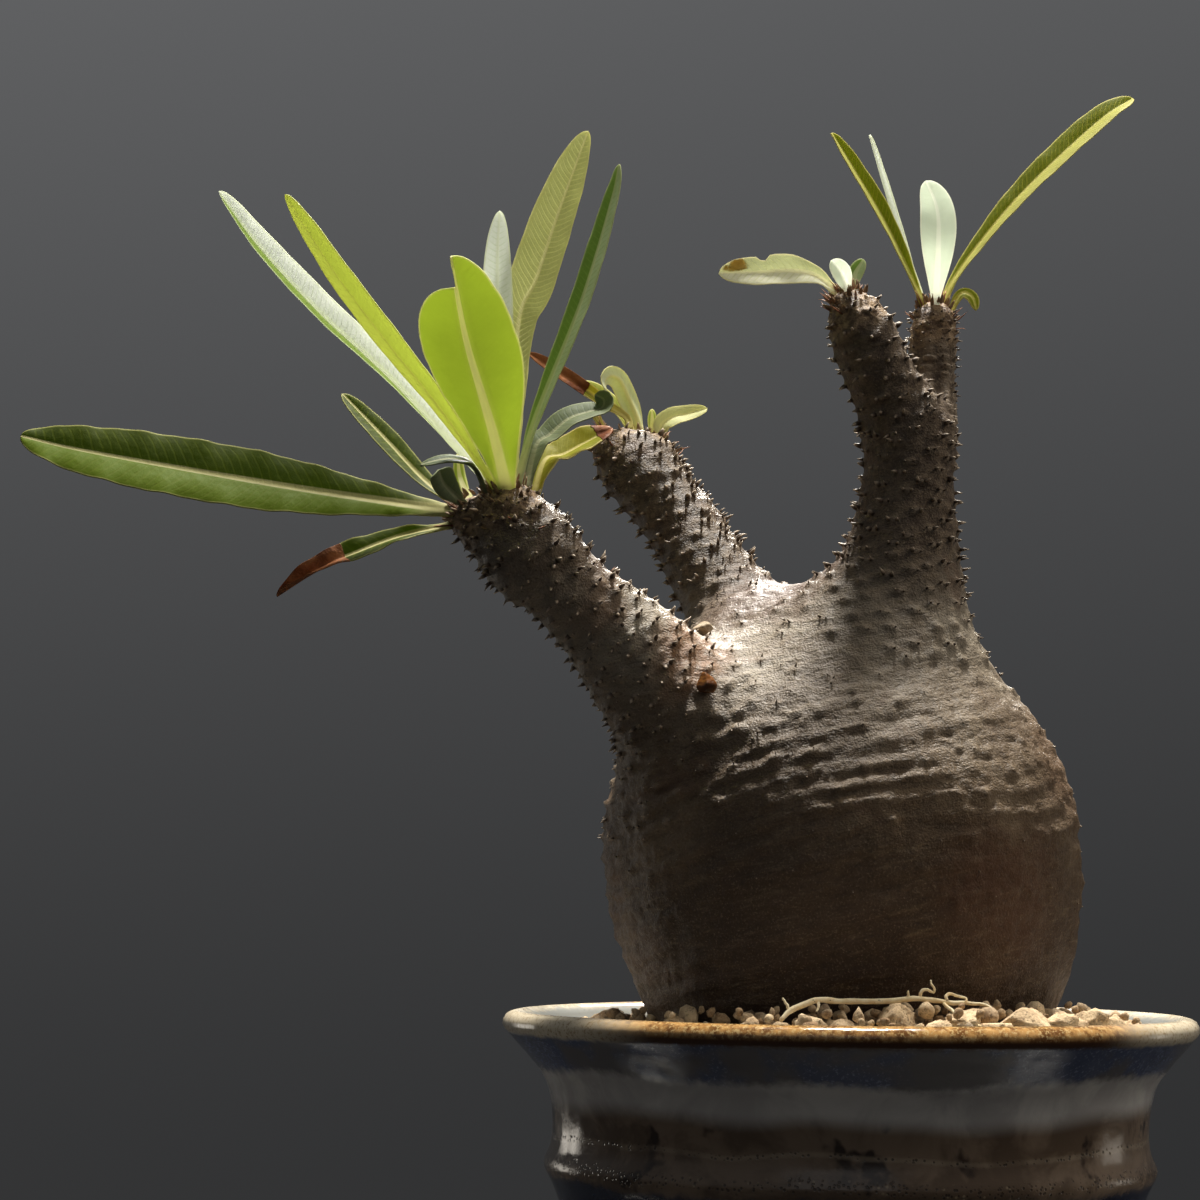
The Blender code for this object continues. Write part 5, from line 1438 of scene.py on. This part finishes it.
def make_root():
    """The dead root and its rootlets, pale straw with dark flecks, knotty and crooked."""
    straw = Finish("straw", 0.75)
    where = straw.place()
    grain = straw.mottle(where, 500, 4.0, 0.6)
    skin = straw.fade(grain, 0.35, 0.65, (232, 208, 160), (246, 230, 192))
    straw.colour(straw.coats(skin, (straw.mottle(where, 900, 3.0, 0.7), 0.62, 0.70, 0.8,
                                    (84, 60, 40))))
    straw.relief((grain, 0.25))
    # the crook's noise follows the clock unless it has a seed
    noise.seed_set(3)
    points, faces = [], []
    for index, route in enumerate((ROOT_MAIN, *ROOT_SIDES)):
        path = spline(route, 26 if index else 60)
        at = np.linspace(0, 1, len(path))
        if index == 0:
            radii = np.interp(at, (0, 0.1, 0.7, 1), (0.7, 1, 0.85, 0.4)) * ROOT_THICK / 2
        else:
            radii = np.interp(at, (0, 1), (1, 0.55)) * ROOT_FINE / 2
        knots = np.array([noise.noise((index * 9.0, 22 * t, 0)) for t in at])
        crook = np.array([noise.noise_vector((index * 5.0, 9 * t, 4)) for t in at])
        path = path + 0.16 * crook * (at > 0)[:, None]
        some, sides = tube_mesh(path, radii * (1 + 0.22 * knots), ROOT_STEPS)
        faces += [tuple(k + len(points) for k in face) for face in sides]
        points += some
    return add_mesh("dry_root_strand", points, faces, straw.material)


root = make_root()
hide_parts("dry_root")
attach(root, "root")

# Sap bead
# A drop of sap that ran out of a wound on the left limb and dried to amber.


def fill_box(piece, low, high):
    """Stretches a ball of radius 1 to fill a box."""
    piece.data.transform(Matrix.Translation((low + high) / 2)
                         @ Matrix.Diagonal((*((high - low) / 2 / MM), 1)))


amber = Finish("sap", 0.22)
where = amber.place()
amber.colour(amber.fade(amber.mottle(where, 420), 0.4, 0.6, (124, 76, 34), (84, 50, 24)))
amber.relief((amber.mottle(where, 700), 0.3))
draw = random.Random(3)
bead = lump("sap_drop", 1.0, 4, draw, amber.material, 0.12)
fill_box(bead, *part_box("sap_bead"))
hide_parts("sap_bead")
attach(bead, "root")

# Crumb
# A crumb of baked clay that was dropped on the trunk behind the left limb.
crumb = lump("clay_crumb", 1.0, 4, draw, clay_material, 0.3)
fill_box(crumb, *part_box("crumb"))
note(crumb, "tint", np.full(len(crumb.data.vertices), 0.95))
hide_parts("crumb")
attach(crumb, "root")

# Floor, backdrop and lights
# A small pale disc stands for a table, out of the camera's frame. The key light is small and
# hard, straight above, and another shines through the leaves from behind; soft panels fill the
# shadows and shine in the glaze.
FLOOR_RADIUS = 76
FLOOR_STEPS = 96

floor_clay = Finish("floor", 0.7)
floor_clay.colour(floor_clay.blend(floor_clay.mottle(floor_clay.place(), 12), (158, 156, 152),
                                   (166, 164, 160)))
floor = add_mesh("floor", [(0, 0, -0.1), *flat_ring(0, 0, -0.1, FLOOR_RADIUS, FLOOR_RADIUS,
                                                    FLOOR_STEPS)],
                 [(0, 1 + k, 1 + (k + 1) % FLOOR_STEPS) for k in range(FLOOR_STEPS)],
                 floor_clay.material)

# the room is dark grey, lighter overhead and to the left
world = bpy.data.worlds.new("grey room")
world.use_nodes = True
air = Nodes(world.node_tree)
aside, _, up = air.apart(air.node("ShaderNodeTexCoord").outputs["Generated"])
height = air.node("ShaderNodeMapRange", {"Value": up, "From Min": -0.10, "From Max": 0.31})
level = air.times(air.maths("POWER", height.outputs[0], 1.5), 0.084, 0.034)
side = air.node("ShaderNodeMapRange", {"Value": aside, "From Min": -0.25, "From Max": 0.25,
                                       "To Min": 1.04, "To Max": 0.84})
tone = air.node("ShaderNodeMix", {0: 1.0, 6: (0.985, 1.0, 1.03, 1),
                                  7: air.times(level, side.outputs[0])},
                data_type="RGBA", blend_type="MULTIPLY")
air.feed(air.tree.nodes["Background"].inputs["Color"], tone.outputs[2])
bpy.context.scene.world = world


def add_light(name, direction, distance, size, watts, colour=(1, 1, 1), target=(0, 0, 130)):
    """Square area light that looks at the target from a direction, sizes in metres."""
    lamp = bpy.data.lights.new(name, "AREA")
    lamp.shape = "RECTANGLE"
    lamp.size, lamp.size_y = size
    lamp.energy = watts
    lamp.color = colour
    aim = Vector(direction).normalized()
    light = bpy.data.objects.new(name, lamp)
    light.matrix_world = (Matrix.Translation(Vector(target) * MM + aim * distance)
                          @ aim.to_track_quat("Z", "Y").to_matrix().to_4x4())
    bpy.context.scene.collection.objects.link(light)
    return light


add_light("key", (0.03, 0.19, 0.98), 1.0, (0.17, 0.17), 27, (1.0, 0.97, 0.91))
add_light("rear", (0.12, 0.78, 0.62), 1.0, (0.15, 0.15), 13, (1.0, 0.98, 0.92))
add_light("right window", (0.94, 0.36, 0), 0.8, (0.14, 0.20), 0.14, (1.0, 0.92, 0.80), (0, 0, 40))
add_light("left window", (-0.71, 0.71, 0), 0.8, (0.20, 0.18), 0.28, (1.0, 0.92, 0.80), (0, 0, 40))
add_light("front panel", (-0.1, -0.85, 0.5), 1.5, (0.9, 0.9), 0.6, (0.96, 0.98, 1.0))
side_panel = add_light("side panel", (0.74, -0.12, 0.66), 1.0, (0.5, 0.5), 4.5, (1.0, 0.96, 0.90))
side_panel.visible_glossy = False

# The photo has deep shadows and clear colours, so nothing is softened on the way to the screen.
bpy.context.scene.view_settings.view_transform = "Standard"
